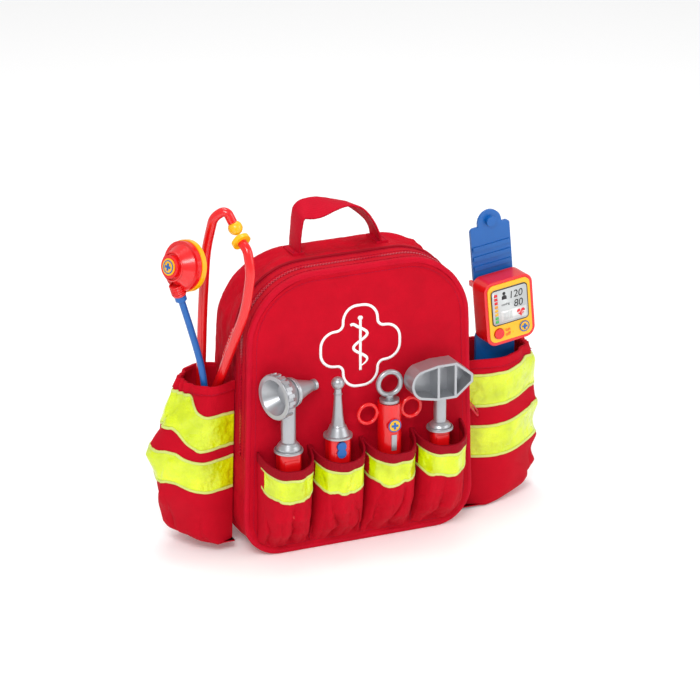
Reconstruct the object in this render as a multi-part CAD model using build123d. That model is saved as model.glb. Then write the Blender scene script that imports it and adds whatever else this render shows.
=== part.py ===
from build123d import *
import os
from math import cos, pi, radians, sin, sqrt, tan

# A child's red rescue backpack with toy medical tools in its pockets.
# Millimetres. X is to the viewer's right, Y goes back, Z is up. The origin is the middle of the flat bottom.

os.makedirs("parts", exist_ok=True)

# Bag body
bag_width_bottom = 240.0
bag_width_top = 224.0
bag_height = 284.0
bag_depth = 100.0
back_lean = 22.0
corner_top = 68.0
corner_bottom = 38.0
fabric = 3.0
thin_fabric = 2.0
panel_padding = 5.0
seat = 0.3
run_gap = 0.4

# Edge bindings and the zip that goes round the front
binding_width = 6.0
binding_depth = 6.0
binding_round = 2.2
tape_inset = 1.2
tape_thickness = 2.0
zip_from_front = 18.0
zip_split = 0.8
tooth_width = 1.6
tooth_height = 3.0
tape_width = 14.0
zip_end_height = 100.0
piping_width = 3.0

# Zip sliders and their pullers
slider_length = 12.0
slider_width = 9.0
slider_plate = 1.4
slider_post = 0.4
slider_height = 107.0
slider_spacing = 14.0
puller_length = 24.0
puller_width = 9.0
puller_thickness = 1.4
puller_bar = 1.6
puller_eye = 1.8
puller_hole = 4.5
puller_lift = 20.0
bridge_radius = 2.6
bridge_wire = 0.8

# Carry handle
webbing_width = 25.0
webbing_thickness = 2.0
handle_span = 86.0
handle_rise = 41.0
handle_swing = 25.0
handle_tab_length = 12.0

# Shoulder straps
strap_width = 46.0
strap_padding = 8.0
strap_top_height = 262.0
strap_end_height = 104.0
strap_bow = 26.0
strap_spacing = 74.0
strap_splay = 8.0
strap_webbing_width = 25.0
strap_webbing_end = 22.0
buckle_width = 34.0
buckle_height = 24.0
buckle_thickness = 5.0

# Side pockets: heights with how far the pocket stands out there
side_pocket_front = -18.0
side_pocket_back_margin = 9.0
side_pocket_swell = 7.0
left_pocket_shape = [(10.0, 46.0), (24.0, 57.0), (60.0, 68.0), (98.0, 76.0), (138.0, 62.0), (174.0, 47.0)]
right_pocket_shape = [(2.0, 74.0), (16.0, 88.0), (50.0, 95.0), (90.0, 96.0), (125.0, 93.0), (150.0, 90.0)]
hem_height = 9.0
hem_proud = 1.2
side_band_height = 34.0
lower_band_top = 112.0
right_band_top = 98.0
band_thickness = 0.9
band_gap = 0.05

# Tool pockets on the front
tool_pocket_pitch = 53.0
tool_pocket_count = 4
tool_pocket_depths = [(12.0, 8.0), (45.0, 29.0), (75.0, 33.0), (112.0, 35.0)]
tool_pocket_mouth = 100.0
tool_pocket_seam_rise = 11.0
tool_binding_height = 9.0
tool_band_height = 22.0
seam_width = 2.0

# Emblem on the front
emblem_height = 203.0
emblem_arm_width = 38.0
emblem_reach = 42.0
emblem_line = 3.0
emblem_round = 16.0
emblem_thickness = 0.6
rod_width = 3.2
rod_length = 54.0
snake_bend = 6.5

# Where each tool stands on the front, as X, with its distance from the panel
otoscope_x = -80.0
probe_x = -29.5
syringe_x = 25.0
hammer_x = 76.0
tool_from_panel = 17.0
syringe_from_panel = 14.0
hammer_from_panel = 18.0
grip_bottom = 47.0
grip_width = 22.0
grip_depth = 18.0
hammer_grip_width = 18.0
hammer_grip_depth = 14.0

# Otoscope
otoscope_head_height = 173.0
otoscope_turn = 18.0
otoscope_bell_radius = 21.0
otoscope_tip_radius = 4.5
otoscope_back_length = 18.0
otoscope_cone_length = 33.0
otoscope_neck_radius = 7.0
otoscope_dome_radius = 14.0
otoscope_dome_height = 114.0

# Probe
probe_ball_radius = 6.3
probe_ball_height = 175.0
probe_dome_radius = 14.0
probe_dome_height = 121.0
probe_button_travel = 1.0

# Syringe
barrel_radius = 11.5
barrel_top = 146.0
barrel_wall = 2.0
finger_ring_height = 137.0
finger_ring_radius = 9.6
finger_ring_wire = 1.9
finger_ring_offset = 22.5
thumb_ring_radius = 11.5
thumb_ring_wire = 2.5
plunger_radius = 4.0
plunger_collar_radius = 9.5
plunger_collar_thickness = 3.0
thumb_ring_clear = 1.6
plunger_travel = 30.0

# Reflex hammer
hammer_head_height = 167.0
hammer_head_low = 38.6
hammer_head_high = 102.0
hammer_head_tall = 36.0
hammer_head_deep = 20.0
hammer_wall = 2.4
hammer_shaft_radius = 6.0
hammer_dome_radius = 13.0
hammer_dome_height = 112.0

# Stethoscope
arm_radius = 4.6
arm_pin_radius = 1.3
arm_pin_rise = 2.5
yoke_cheek = 1.2
tube_diameter = 6.6
chest_radius = 23.5
chest_depth = 25.0
chest_centre = (-168.0, -15.0, 295.5)
chest_facing = (-0.91, -0.36, 0.2)
back_arm_points = [
    (-137.0, 23.2, 112.0), (-137.0, 14.0, 172.0), (-135.5, 11.0, 240.0), (-133.0, 6.0, 300.0),
    (-128.0, -2.0, 334.0), (-118.0, -9.0, 342.0), (-113.0, -12.0, 330.0),
]
front_arm_points = [
    (-137.0, 13.2, 112.0), (-135.5, 6.0, 132.0), (-129.0, -12.0, 172.0), (-124.0, -36.0, 216.0), (-118.0, -57.0, 259.0),
    (-115.0, -63.0, 298.0), (-116.0, -57.0, 318.0), (-118.0, -49.0, 323.0),
]
ear_ball_radius = 7.0
ear_disc_radius = 9.0
tube_points = [
    (-166.5, -15.5, 262.0), (-154.0, -12.6, 222.0), (-143.5, -11.5, 180.0), (-141.5, -13.5, 130.0),
    (-140.5, -14.0, 84.0), (-140.0, -14.0, 50.0), (-138.5, 2.9, 37.0), (-137.0, 19.8, 50.0),
    (-137.0, 18.6, 84.0),
]

# Wrist blood-pressure monitor
monitor_centre = (167.0, -12.0, 204.0)
monitor_width = 54.0
monitor_tall = 66.0
monitor_deep = 26.0
monitor_lean = 5.0
monitor_turn = 6.0
monitor_corner = 10.0
monitor_wall = 2.0
bezel_border = 3.2
bezel_thickness = 2.0
screen_border = 5.0
screen_height = 36.0
button_radius = 5.2
button_travel = 1.0
cuff_width = 44.0
cuff_thickness = 3.0
cuff_upper_length = 72.0
cuff_lower_length = 175.0
cuff_rib_pitch = 10.0
cuff_rib = 1.2
cuff_stud_radius = 5.0
cuff_pin_radius = 1.6

# Worked out from the sizes above
front_y = -bag_depth / 2
back_y = bag_depth / 2
zip_y = front_y + zip_from_front
lid_back_y = zip_y - zip_split / 2
panel_face_y = front_y + 1.0
tape_front_y = front_y + binding_depth
tape_back_y = zip_y + zip_split / 2 + tooth_width + tape_width
gusset_front_y = tape_back_y + piping_width
wall_slope = (bag_width_bottom - bag_width_top) / 2 / bag_height
base_corner_x = bag_width_bottom / 2 - corner_bottom


def half_width(z):
    return bag_width_bottom / 2 - wall_slope * z


def back_at(z):
    return back_y - back_lean * z / bag_height


def outline(inset):
    side = inset * sqrt(1 + wall_slope**2)
    low = inset
    high = bag_height - inset
    points = [
        (-half_width(low) + side, low), (half_width(low) - side, low),
        (half_width(high) - side, high), (-half_width(high) + side, high),
    ]
    face = make_face(Polyline(*points, close=True))
    face = fillet(face.vertices().sort_by(Axis.Y)[:2], corner_bottom - inset)
    return fillet(face.vertices().sort_by(Axis.Y)[-2:], corner_top - inset)


def slab(face, y_low, y_high):
    plane = Plane((0, y_high, 0), x_dir=(1, 0, 0), z_dir=(0, -1, 0))
    return extrude(plane * face, amount=y_high - y_low)


def ring(outer_inset, inner_inset, y_low, y_high):
    return slab(outline(outer_inset) - outline(inner_inset), y_low, y_high)


def block(x_low, x_high, y_low, y_high, z_low, z_high):
    middle = Pos((x_low + x_high) / 2, (y_low + y_high) / 2, (z_low + z_high) / 2)
    return middle * Box(x_high - x_low, y_high - y_low, z_high - z_low)


def above(z):
    return block(-400, 400, -300, 300, z, 700)


def below(z):
    return block(-400, 400, -300, 300, -100, z)


def rod(start, end, radius):
    along = Vector(*end) - Vector(*start)
    plane = Plane(origin=start, z_dir=along)
    return plane * Cylinder(radius, along.length, align=(Align.CENTER, Align.CENTER, Align.MIN))


def taper(start, end, start_radius, end_radius):
    along = Vector(*end) - Vector(*start)
    plane = Plane(origin=start, z_dir=along)
    body = Cone(start_radius, end_radius, along.length, align=(Align.CENTER, Align.CENTER, Align.MIN))
    return plane * body


def ball(centre, radius):
    return Pos(*centre) * Sphere(radius)


def hoop(centre, axis, radius, wire):
    return Plane(origin=centre, z_dir=axis) * Torus(radius, wire)


def turned(profile):
    """A solid of revolution about the Z axis from a list of (radius, height) points."""
    return revolve(Plane.XZ * make_face(Polyline(*profile, close=True)), Axis.Z)


def bend_radii(points):
    radii = []
    for before, here, after in zip(points, points[1:], points[2:]):
        leaving = Vector(*here) - Vector(*before)
        going = Vector(*after) - Vector(*here)
        half_turn = radians(leaving.get_angle(going)) / 2
        radii.append(0.45 * min(leaving.length, going.length) / tan(half_turn))
    return radii


def bent_tube(points, radius):
    path = FilletPolyline(*points, radius=bend_radii(points))
    start = Plane(origin=path @ 0, z_dir=path % 0)
    return sweep(start * Circle(radius), path=path)


def ribbon(points, width, thickness, across):
    """A flat strap along a bent path, its width lying along the direction across."""
    path = FilletPolyline(*points, radius=bend_radii(points))
    start = Plane(origin=path @ 0, x_dir=across, z_dir=path % 0)
    return sweep(start * Rectangle(width, thickness), path=path)


def write(name, shape):
    export_step(shape, f"parts/{name}.step")


# The leaning back cuts everything that would stand behind it

def behind(offset):
    """The space behind the leaning back, moved by an offset along Y."""
    low = (back_at(-50) + offset, -50)
    high = (back_at(bag_height + 50) + offset, bag_height + 50)
    far = back_y + 200
    face = make_face(Polyline(low, (far, -50), (far, bag_height + 50), high, close=True))
    return extrude(Plane.YZ * face, amount=300, both=True)


def wall_box(side, z_low, z_high):
    x = sorted((side * base_corner_x, side * 300))
    return block(x[0], x[1], -300, 300, z_low, z_high)


# Bag shell: gussets, bottom, back, bindings and the zip

def bag_shell():
    far = back_y + 20
    side_ring = ring(0, fabric, gusset_front_y, far) - behind(-binding_depth)
    write("main_gusset", side_ring & above(corner_bottom))
    flat = ring(0, fabric, tape_front_y + run_gap, far) - behind(-binding_depth)
    middle = block(-base_corner_x, base_corner_x, front_y, gusset_front_y, -1, fabric + 1)
    rear = block(-200, 200, gusset_front_y, far, -1, corner_bottom)
    write("bottom_panel", flat & (middle + rear))
    write("gusset_piping", ring(-0.8, fabric, tape_back_y, gusset_front_y) & above(zip_end_height))
    rear_binding = ring(-0.6, binding_width, front_y, far) & behind(-binding_depth)
    write("back_binding", rear_binding - behind(0))
    cushion = slab(outline(binding_width), front_y, far) & behind(-panel_padding)
    write("back_panel", cushion - behind(0))
    tape = ring(tape_inset, tape_inset + tape_thickness, tape_back_y - tape_width, tape_back_y)
    teeth_y = zip_y + zip_split / 2
    middle_inset = tape_inset + tape_thickness / 2
    teeth = ring(middle_inset - tooth_height / 2, middle_inset + tooth_height / 2, teeth_y, teeth_y + tooth_width)
    write("rear_zip", Compound(children=[tape & above(zip_end_height), teeth & above(zip_end_height)]))
    strip = ring(tape_inset, tape_inset + thin_fabric, tape_front_y + seat, gusset_front_y)
    for side, name in ((-1, "left"), (1, "right")):
        write(f"lower_gusset_{name}", strip & wall_box(side, -1, zip_end_height - seat))


# Front panel that opens with its binding and its half of the zip

def front_lid():
    frame = ring(0, binding_width, front_y, tape_front_y)
    edges = frame.edges().filter_by(lambda edge: abs(edge.center().Y - front_y) < 0.01)
    write("front_binding", fillet(edges, binding_round))
    write("front_panel", slab(outline(binding_width), panel_face_y, panel_face_y + fabric))
    tape = ring(tape_inset, tape_inset + tape_thickness, tape_front_y, lid_back_y - tooth_width)
    middle_inset = tape_inset + tape_thickness / 2
    teeth = ring(middle_inset - tooth_height / 2, middle_inset + tooth_height / 2,
                 lid_back_y - tooth_width, lid_back_y)
    write("front_zip", Compound(children=[tape & above(zip_end_height), teeth & above(zip_end_height)]))


def cross(inset):
    wide = 2 * (emblem_reach - inset)
    thin = emblem_arm_width - 2 * inset
    shape = Rectangle(wide, thin) + Rectangle(thin, wide)
    inner_corners = shape.vertices().group_by(lambda corner: round(abs(corner.X) + abs(corner.Y)))[0]
    shape = fillet(inner_corners, emblem_round * 0.35 + inset)
    outer_corners = shape.vertices().group_by(lambda corner: round(abs(corner.X) + abs(corner.Y)))[-1]
    return fillet(outer_corners, emblem_round - inset)


def emblem():
    pieces = [cross(0) - cross(emblem_line), Rectangle(rod_width, rod_length)]
    gap = rod_width / 2 + run_gap
    for side, middle in ((1, -15.5), (-1, -2.5), (1, 10.5)):
        coil = Circle(snake_bend + rod_width / 2) - Circle(snake_bend - rod_width / 2)
        clear = Pos(side * (gap + 20), 0) * Rectangle(40, 40)
        pieces.append(Pos(0, middle) * (coil & clear))
    solids = [slab(Pos(0, emblem_height) * piece, panel_face_y - emblem_thickness, panel_face_y) for piece in pieces]
    write("emblem", Compound(children=solids))


# Zip sliders on the straight right side

def zip_sliders():
    for number, name in enumerate(("lower", "upper")):
        z = slider_height + number * slider_spacing
        face_x = half_width(z) - tape_inset - tape_thickness / 2
        outer = face_x + tooth_height / 2 + run_gap
        inner = face_x - tooth_height / 2 - run_gap
        half = slider_length / 2
        y_low = zip_y - slider_width / 2
        y_high = zip_y + slider_width / 2
        top = block(outer, outer + slider_plate, y_low, y_high, z - half, z + half)
        bottom = block(inner - slider_plate, inner, y_low, y_high, z - half, z + half)
        post = block(inner - 0.5, outer + 0.5, zip_y - slider_post / 2, zip_y + slider_post / 2, z + 1, z + half)
        pin_x = outer + slider_plate + 1.2
        bridge = hoop((outer + slider_plate + 0.6, zip_y, z), (0, 1, 0), bridge_radius, bridge_wire)
        bridge = bridge & block(outer + slider_plate / 2, outer + 20, -100, 100, z - 20, z + 20)
        write(f"zip_slider_{name}", top + bottom + post + bridge)
        puller = fillet(Rectangle(puller_width, puller_length).vertices(), 2.2)
        top_edge = puller_length / 2
        eye = Pos(0, top_edge - puller_bar - puller_eye) * Circle(puller_eye)
        hole = Pos(0, 6.0 - top_edge) * SlotOverall(puller_hole * 1.7, puller_hole)
        puller = Pos(0, puller_bar / 2 - top_edge) * (puller - eye - hole)
        hang = Plane((0, 0, 0), x_dir=(0, 1, 0), z_dir=(1, 0, 0))
        plate = extrude(hang * puller, amount=puller_thickness / 2, both=True)
        swing = Rot(0, -puller_lift * number, 0)
        write(f"zip_puller_{name}", Pos(pin_x, zip_y, z) * swing * plate)


# Carry handle and its sewn tabs

def carry_handle():
    y = back_y - back_lean - binding_depth - run_gap - webbing_width / 2
    base = bag_height + webbing_thickness + run_gap
    half = handle_span / 2
    rise = handle_rise
    points = [(-half, y, base), (-half + 3, y, base + rise * 0.78), (-half + 20, y, base + rise * 0.94),
              (4, y, base + rise), (half - 16, y, base + rise * 0.72), (half, y, base)]
    loop = ribbon(points, webbing_width, webbing_thickness, (0, 1, 0))
    foot = base + run_gap
    spread = webbing_width
    lift = spread * tan(radians(handle_swing))
    notch = make_face(Polyline((y, foot), (y + spread, foot + lift), (y + spread, 0), (y - spread, 0),
                               (y - spread, foot + lift), close=True))
    write("carry_handle", loop - extrude(Plane.YZ * notch, amount=bag_width_bottom, both=True))
    tabs = Compound(children=[
        block(side * half - handle_tab_length / 2, side * half + handle_tab_length / 2,
              y - webbing_width / 2, y + webbing_width / 2, bag_height, bag_height + webbing_thickness)
        for side in (-1, 1)
    ])
    write("handle_tabs", tabs)


# Shoulder straps on the back

def shoulder_straps():
    heights = [strap_top_height, 236, 200, 160, 128, strap_end_height]
    bows = [0, 0.45, 0.95, 1.0, 0.6, 0.2]
    near = [(back_at(z) + seat + strap_bow * bow, z) for z, bow in zip(heights, bows)]
    far = [(y + strap_padding * (0.5 if index in (0, len(near) - 1) else 1), z) for index, (y, z) in enumerate(near)]
    sides = [Spline(*near), Line(near[-1], far[-1]), Spline(*reversed(far)), Line(far[0], near[0])]
    pad = make_face(Wire(sides))
    tip_y = near[-1][0] + strap_padding * 0.25
    web = [(tip_y, strap_end_height - buckle_height + 4), (back_at(60) + 5, 60), (back_at(30) + 1.6, strap_webbing_end)]
    tail = [(0, y, z) for y, z in web]
    webs = []
    buckles = []
    for side, name in ((-1, "left"), (1, "right")):
        swing = Pos(side * strap_spacing / 2, 0, strap_top_height) * Rot(0, -side * strap_splay, 0) \
            * Pos(0, 0, -strap_top_height)
        write(f"shoulder_strap_{name}", swing * extrude(Plane.YZ * pad, amount=strap_width / 2, both=True))
        webs.append(swing * ribbon(tail, strap_webbing_width, webbing_thickness, (1, 0, 0)))
        frame = fillet(Rectangle(buckle_width, buckle_height).vertices(), 3)
        for slot_z in (-6.5, 0.5, 7.0):
            frame -= Pos(0, slot_z) * Rectangle(strap_webbing_width + 1, 3.2)
        near_y = tip_y + webbing_thickness / 2 + run_gap
        plane = Plane((0, near_y + buckle_thickness, strap_end_height - buckle_height / 2 - 0.5),
                      x_dir=(1, 0, 0), z_dir=(0, -1, 0))
        buckles.append(swing * extrude(plane * frame, amount=buckle_thickness))
    write("strap_webbing", Compound(children=webs))
    write("strap_buckles", Compound(children=buckles))


# Side pockets

def side_section(side, z, reach, out):
    wall = half_width(z) + 0.1
    front = side_pocket_front - out
    back = min(back_at(z) - side_pocket_back_margin, 40) + out
    middle = (front + back) / 2
    half = (back - front) / 2
    far = reach + out
    start = 0.0 if out >= 0 else -6.0
    points = [
        (wall + start, front), (wall + 0.5 * far, front - side_pocket_swell), (wall + 0.9 * far, middle - 0.55 * half),
        (wall + far, middle), (wall + 0.9 * far, middle + 0.55 * half),
        (wall + 0.5 * far, back + side_pocket_swell), (wall + start, back),
    ]
    points = [(side * x, y, z) for x, y in points]
    return make_face(Wire([Spline(*points), Line(points[-1], points[0])]))


def side_loft(side, shape, out, low=0.0, high=0.0):
    stations = [list(row) for row in shape]
    stations[0][0] += low
    stations[-1][0] += high
    return loft([side_section(side, z, reach, out) for z, reach in stations])


def side_pockets():
    hems = []
    for side, name, shape in ((-1, "left", left_pocket_shape), (1, "right", right_pocket_shape)):
        top = shape[-1][0]
        outer = side_loft(side, shape, 0)
        inner = side_loft(side, shape, -thin_fabric, thin_fabric, 5)
        write(f"side_pocket_{name}", (outer - inner) & below(top - hem_height))
        rim = side_loft(side, shape, hem_proud) - inner
        hems.append(rim & above(top - hem_height))
        skin = side_loft(side, shape, band_thickness + band_gap) - side_loft(side, shape, band_gap)
        upper_top = top - hem_height - 2
        second_top = lower_band_top if side < 0 else right_band_top
        upper = skin & above(upper_top - side_band_height) & below(upper_top)
        lower = skin & above(second_top - side_band_height - 4) & below(second_top - 4)
        write(f"side_bands_{name}", Compound(children=[upper, lower]))
    write("side_pocket_hems", Compound(children=hems))


# Tool pockets

def tool_section(x, z, depth, out):
    y = panel_face_y - 0.1
    half = tool_pocket_pitch / 2 - seam_width / 2 + min(out, 0)
    deep = depth + out
    start = 0.0 if out >= 0 else 6.0
    points = [
        (x - half, y + start), (x - half * 0.86, y - deep * 0.72), (x, y - deep),
        (x + half * 0.86, y - deep * 0.72), (x + half, y + start),
    ]
    points = [(px, py, z) for px, py in points]
    return make_face(Wire([Spline(*points), Line(points[-1], points[0])]))


def tool_loft(x, out, low=0.0):
    stations = [list(row) for row in tool_pocket_depths]
    stations[0][0] += low
    stations[-1][0] += 4 if out < 0 else 0
    return loft([tool_section(x, z, depth, out) for z, depth in stations])


def under_mouth(x, drop):
    """The space under the pocket's dipping mouth line, moved down by a drop."""
    half = tool_pocket_pitch / 2
    edge = tool_pocket_mouth + tool_pocket_seam_rise - drop
    dip = tool_pocket_mouth - drop
    top = ThreePointArc((x - half, edge), (x, dip), (x + half, edge))
    sides = Polyline((x + half, edge), (x + half, -20), (x - half, -20), (x - half, edge))
    return slab(make_face(Wire([top] + list(sides.edges()))), front_y - 80, front_y + 10)


def tool_pockets():
    bindings = []
    bands = []
    first = -tool_pocket_pitch * (tool_pocket_count - 1) / 2
    inside_frame = slab(outline(binding_width + 0.1), front_y - 80, front_y + 10)
    for number in range(tool_pocket_count):
        x = first + number * tool_pocket_pitch
        inner = tool_loft(x, -thin_fabric, thin_fabric)
        outer = tool_loft(x, 0)
        pocket = (outer - inner) & under_mouth(x, tool_binding_height) & inside_frame
        write(f"tool_pocket_{number + 1}", pocket)
        rim = (tool_loft(x, hem_proud) - inner) & under_mouth(x, 0)
        bindings.append(rim - under_mouth(x, tool_binding_height))
        skin = tool_loft(x, band_thickness + band_gap) - tool_loft(x, band_gap)
        low = tool_binding_height + 0.5
        band = (skin & under_mouth(x, low)) - under_mouth(x, low + tool_band_height)
        bands.append(band.solids().sort_by(SortBy.VOLUME)[-1])
    write("tool_pocket_binding", Compound(children=bindings))
    write("tool_pocket_band", Compound(children=bands))


# Tools

def grip(x, y, top, width=grip_width, depth=grip_depth):
    body = block(x - width / 2, x + width / 2, y - depth / 2, y + depth / 2, grip_bottom, top)
    return fillet(body.edges().filter_by(Axis.Z), 5)


def dome(x, y, z, radius, height):
    step = 1.6
    shape = [(0, 0), (radius, 0), (radius, step), (radius - 2, step)]
    arc = [(radius - 2) * cos(radians(a)) for a in range(15, 76, 15)]
    rise = [step + (height - step) * sin(radians(a)) for a in range(15, 76, 15)]
    return Pos(x, y, z) * turned(shape + list(zip(arc, rise)) + [(0, height)])


def otoscope():
    y = panel_face_y - tool_from_panel
    z = otoscope_head_height
    turn = radians(otoscope_turn)
    along = Vector(cos(turn), sin(turn), 0)
    middle = Vector(otoscope_x, y, z)

    def spot(distance):
        point = middle + along * distance
        return (point.X, point.Y, point.Z)

    mouth = -otoscope_back_length
    bell = otoscope_bell_radius
    head = rod(spot(mouth), spot(mouth + 7), bell)
    head += taper(spot(mouth + 7), spot(2), bell - 1.2, bell * 0.62)
    head += rod(spot(2), spot(6), bell * 0.66)
    head += taper(spot(6), spot(otoscope_cone_length - 3), bell * 0.56, otoscope_tip_radius)
    head += rod(spot(otoscope_cone_length - 3), spot(otoscope_cone_length), otoscope_tip_radius + 1)
    head += rod((otoscope_x, y, otoscope_dome_height + 6), (otoscope_x, y, z), otoscope_neck_radius)
    head += dome(otoscope_x, y, otoscope_dome_height, otoscope_dome_radius, 12)
    cup = taper(spot(mouth - 1), spot(mouth + 13), bell - 3, bell * 0.45)
    head -= cup
    head -= rod(spot(0), spot(otoscope_cone_length + 1), otoscope_tip_radius - 2)
    write("otoscope_head", head)
    write("otoscope_grip", grip(otoscope_x, y, otoscope_dome_height))


def probe():
    y = panel_face_y - tool_from_panel
    stem = Pos(probe_x, y, probe_dome_height) * turned(
        [(0, 0), (probe_dome_radius, 0), (probe_dome_radius, 2), (probe_dome_radius - 2.5, 2.4),
         (probe_dome_radius - 5, 8), (8, 10), (6.5, 12), (5.2, 20), (3.8, 38), (3.4, 50), (0, 50)])
    stem += ball((probe_x, y, probe_ball_height), probe_ball_radius)
    write("probe_tip", stem)
    body = grip(probe_x, y, probe_dome_height)
    face = y - grip_depth / 2
    lobes = Pos(0, 3.6) * Circle(4.6) + Pos(0, -3.6) * Circle(4.6) + Rectangle(6, 6)
    well = Pos(0, 3.6) * Circle(5.0) + Pos(0, -3.6) * Circle(5.0) + Rectangle(6.8, 6.8)
    height = 110.0
    seat_deep = 4.0
    plane = Plane((probe_x, face + seat_deep, height), x_dir=(1, 0, 0), z_dir=(0, -1, 0))
    body -= extrude(plane * well, amount=seat_deep + 2)
    write("probe_grip", body)
    button = extrude(plane.offset(probe_button_travel + 0.3) * lobes, amount=seat_deep + 0.4)
    write("probe_button", button)


def syringe():
    x = syringe_x
    y = panel_face_y - syringe_from_panel
    body = rod((x, y, grip_bottom), (x, y, barrel_top), barrel_radius)
    for side in (-1, 1):
        centre = (x + side * finger_ring_offset, y, finger_ring_height)
        link = rod((x, y, finger_ring_height), (x + side * (finger_ring_offset - finger_ring_radius), y,
                   finger_ring_height), finger_ring_wire)
        body += hoop(centre, (0, 1, 0), finger_ring_radius, finger_ring_wire) + link
    bore_bottom = barrel_top - plunger_travel - 14
    body -= rod((x, y, bore_bottom), (x, y, barrel_top + 1), barrel_radius - barrel_wall)
    badge_z = 126.0
    flat = y - barrel_radius
    boss = rod((x, flat + 4, badge_z), (x, flat - 1.2, badge_z), 7.0)
    bore = rod((x, y, bore_bottom), (x, y, barrel_top + 1), barrel_radius - barrel_wall)
    write("syringe_barrel", body + (boss - bore))
    piston = barrel_radius - barrel_wall - run_gap
    collar_z = barrel_top + run_gap
    collar_top = collar_z + plunger_collar_thickness
    thumb_ring_height = collar_top + thumb_ring_clear + thumb_ring_radius + thumb_ring_wire
    plunger = rod((x, y, bore_bottom + 3), (x, y, bore_bottom + 11), piston)
    plunger += rod((x, y, bore_bottom + 11), (x, y, thumb_ring_height - thumb_ring_radius), plunger_radius)
    plunger += rod((x, y, collar_z), (x, y, collar_top), plunger_collar_radius)
    plunger += hoop((x, y, thumb_ring_height), (0, 1, 0), thumb_ring_radius, thumb_ring_wire)
    write("syringe_plunger", plunger)


def hammer():
    x = hammer_x
    y = panel_face_y - hammer_from_panel
    z = hammer_head_height
    half = hammer_head_tall / 2
    low = hammer_head_low
    high = hammer_head_high
    band_low = x - 11
    band_high = x + 9
    back = panel_face_y - syringe_from_panel - finger_ring_wire - 2 * run_gap
    shape = Polyline((low + 9, z - half * 0.8), (band_low, z - half), (band_high, z - half), (high, z - 4),
                     (high, z + 4), (band_high, z + half), (band_low, z + half), (low + 9, z + half * 0.8))
    nose = ThreePointArc((low + 9, z + half * 0.8), (low, z), (low + 9, z - half * 0.8))
    face = make_face(Wire(list(shape.edges()) + [nose]))
    face = Sketch() + face
    head = slab(face, back - hammer_head_deep, back)
    hollow = offset(face, -hammer_wall)
    pocket = slab(hollow, back - hammer_head_deep - 1, back - hammer_wall)
    rib_low = block(band_low, band_low + hammer_wall, -200, 0, z - 60, z + 60)
    rib_high = block(band_high - hammer_wall, band_high, -200, 0, z - 60, z + 60)
    head -= pocket - rib_low - rib_high
    head += rod((x, y, hammer_dome_height + 4), (x, y, z - half + hammer_wall / 2), hammer_shaft_radius)
    head += dome(x, y, hammer_dome_height, hammer_dome_radius, 9)
    write("hammer_head", head)
    write("hammer_grip", grip(x, y, hammer_dome_height, hammer_grip_width, hammer_grip_depth))


# Stethoscope

def stethoscope():
    facing = Vector(*chest_facing).normalized()
    centre = Vector(*chest_centre)

    def spot(distance):
        point = centre + facing * distance
        return (point.X, point.Y, point.Z)

    half = chest_depth / 2
    shell = rod(spot(-half + 5), spot(-2), chest_radius) + taper(spot(-2), spot(half - 4), chest_radius - 3, 12)
    shell += rod(spot(half - 4), spot(half), 11)
    top = Vector(*tube_points[0])
    down = (Vector(*tube_points[1]) - top).normalized()
    neck_start = top - down * 16
    neck_end = top - down * 6
    neck = rod((neck_start.X, neck_start.Y, neck_start.Z), (neck_end.X, neck_end.Y, neck_end.Z), 6.5)
    cup = rod(spot(-half - 1), spot(-half + 8), chest_radius - 4)
    solid_rim = rod(spot(-half), spot(-half + 5), chest_radius + 1)
    write("chest_piece", shell + neck - cup - solid_rim)
    write("chest_rim", solid_rim - cup)
    write("chest_badge", rod(spot(half), spot(half + 1), 8.0))
    write("tube_collar", rod((neck_end.X, neck_end.Y, neck_end.Z), (top.X, top.Y, top.Z), 5.6))
    tube = bent_tube(tube_points, tube_diameter / 2)
    write("stethoscope_tube", tube)
    path = FilletPolyline(*tube_points, radius=bend_radii(tube_points))
    print("tube radii", [round(value, 1) for value in bend_radii(tube_points)], "length", round(path.length, 1))
    print("tube volume", round(tube.volume), "from section", round(path.length * pi * tube_diameter**2 / 4))
    end = tube_points[-1]
    foot = back_arm_points[0]
    front_edge = front_arm_points[0][1] - arm_radius
    back_edge = foot[1] + arm_radius - 1.5
    way = (Vector(*end) - Vector(*tube_points[-2])).normalized() * 16
    cheek = arm_radius + 2 * run_gap
    block_top = foot[2] - 2.0
    yoke = rod(end, (end[0] + way.X, end[1] + way.Y, end[2] + way.Z), 5.0)
    yoke += block(foot[0] - cheek - yoke_cheek, foot[0] + cheek + yoke_cheek, front_edge, back_edge,
                  block_top - 14, block_top)
    for side in (-1, 1):
        x = sorted((foot[0] + side * cheek, foot[0] + side * (cheek + yoke_cheek)))
        yoke += block(x[0], x[1], front_edge, back_edge, block_top - 1, foot[2] + 2 * arm_pin_rise)
    pin_z = foot[2] + arm_pin_rise
    for name, points in (("back", back_arm_points), ("front", front_arm_points)):
        start = (foot[0] - cheek - 1, points[0][1], pin_z)
        finish = (foot[0] + cheek + 1, points[0][1], pin_z)
        yoke += rod(start, finish, arm_pin_radius)
        write(f"headset_arm_{name}", bent_tube(points, arm_radius) - rod(start, finish, arm_pin_radius + 0.15))
    write("headset_yoke", yoke)
    tip = back_arm_points[-1]
    before = back_arm_points[-2]
    way = (Vector(*tip) - Vector(*before)).normalized()
    middle = Vector(*tip) + way * (ear_ball_radius - 1)
    tip_ball = ball((middle.X, middle.Y, middle.Z), ear_ball_radius) - bent_tube(back_arm_points, arm_radius)
    write("ear_tip_back", tip_ball)
    tip = Vector(*front_arm_points[-1])
    way = (tip - Vector(*front_arm_points[-2])).normalized()
    seat_point = tip + way * 4
    nose = tip + way * 7
    disc = rod((tip.X, tip.Y, tip.Z), (seat_point.X, seat_point.Y, seat_point.Z), ear_disc_radius)
    disc += taper((seat_point.X, seat_point.Y, seat_point.Z), (nose.X, nose.Y, nose.Z), 6.0, 4.5)
    write("ear_tip_front", disc)


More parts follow.
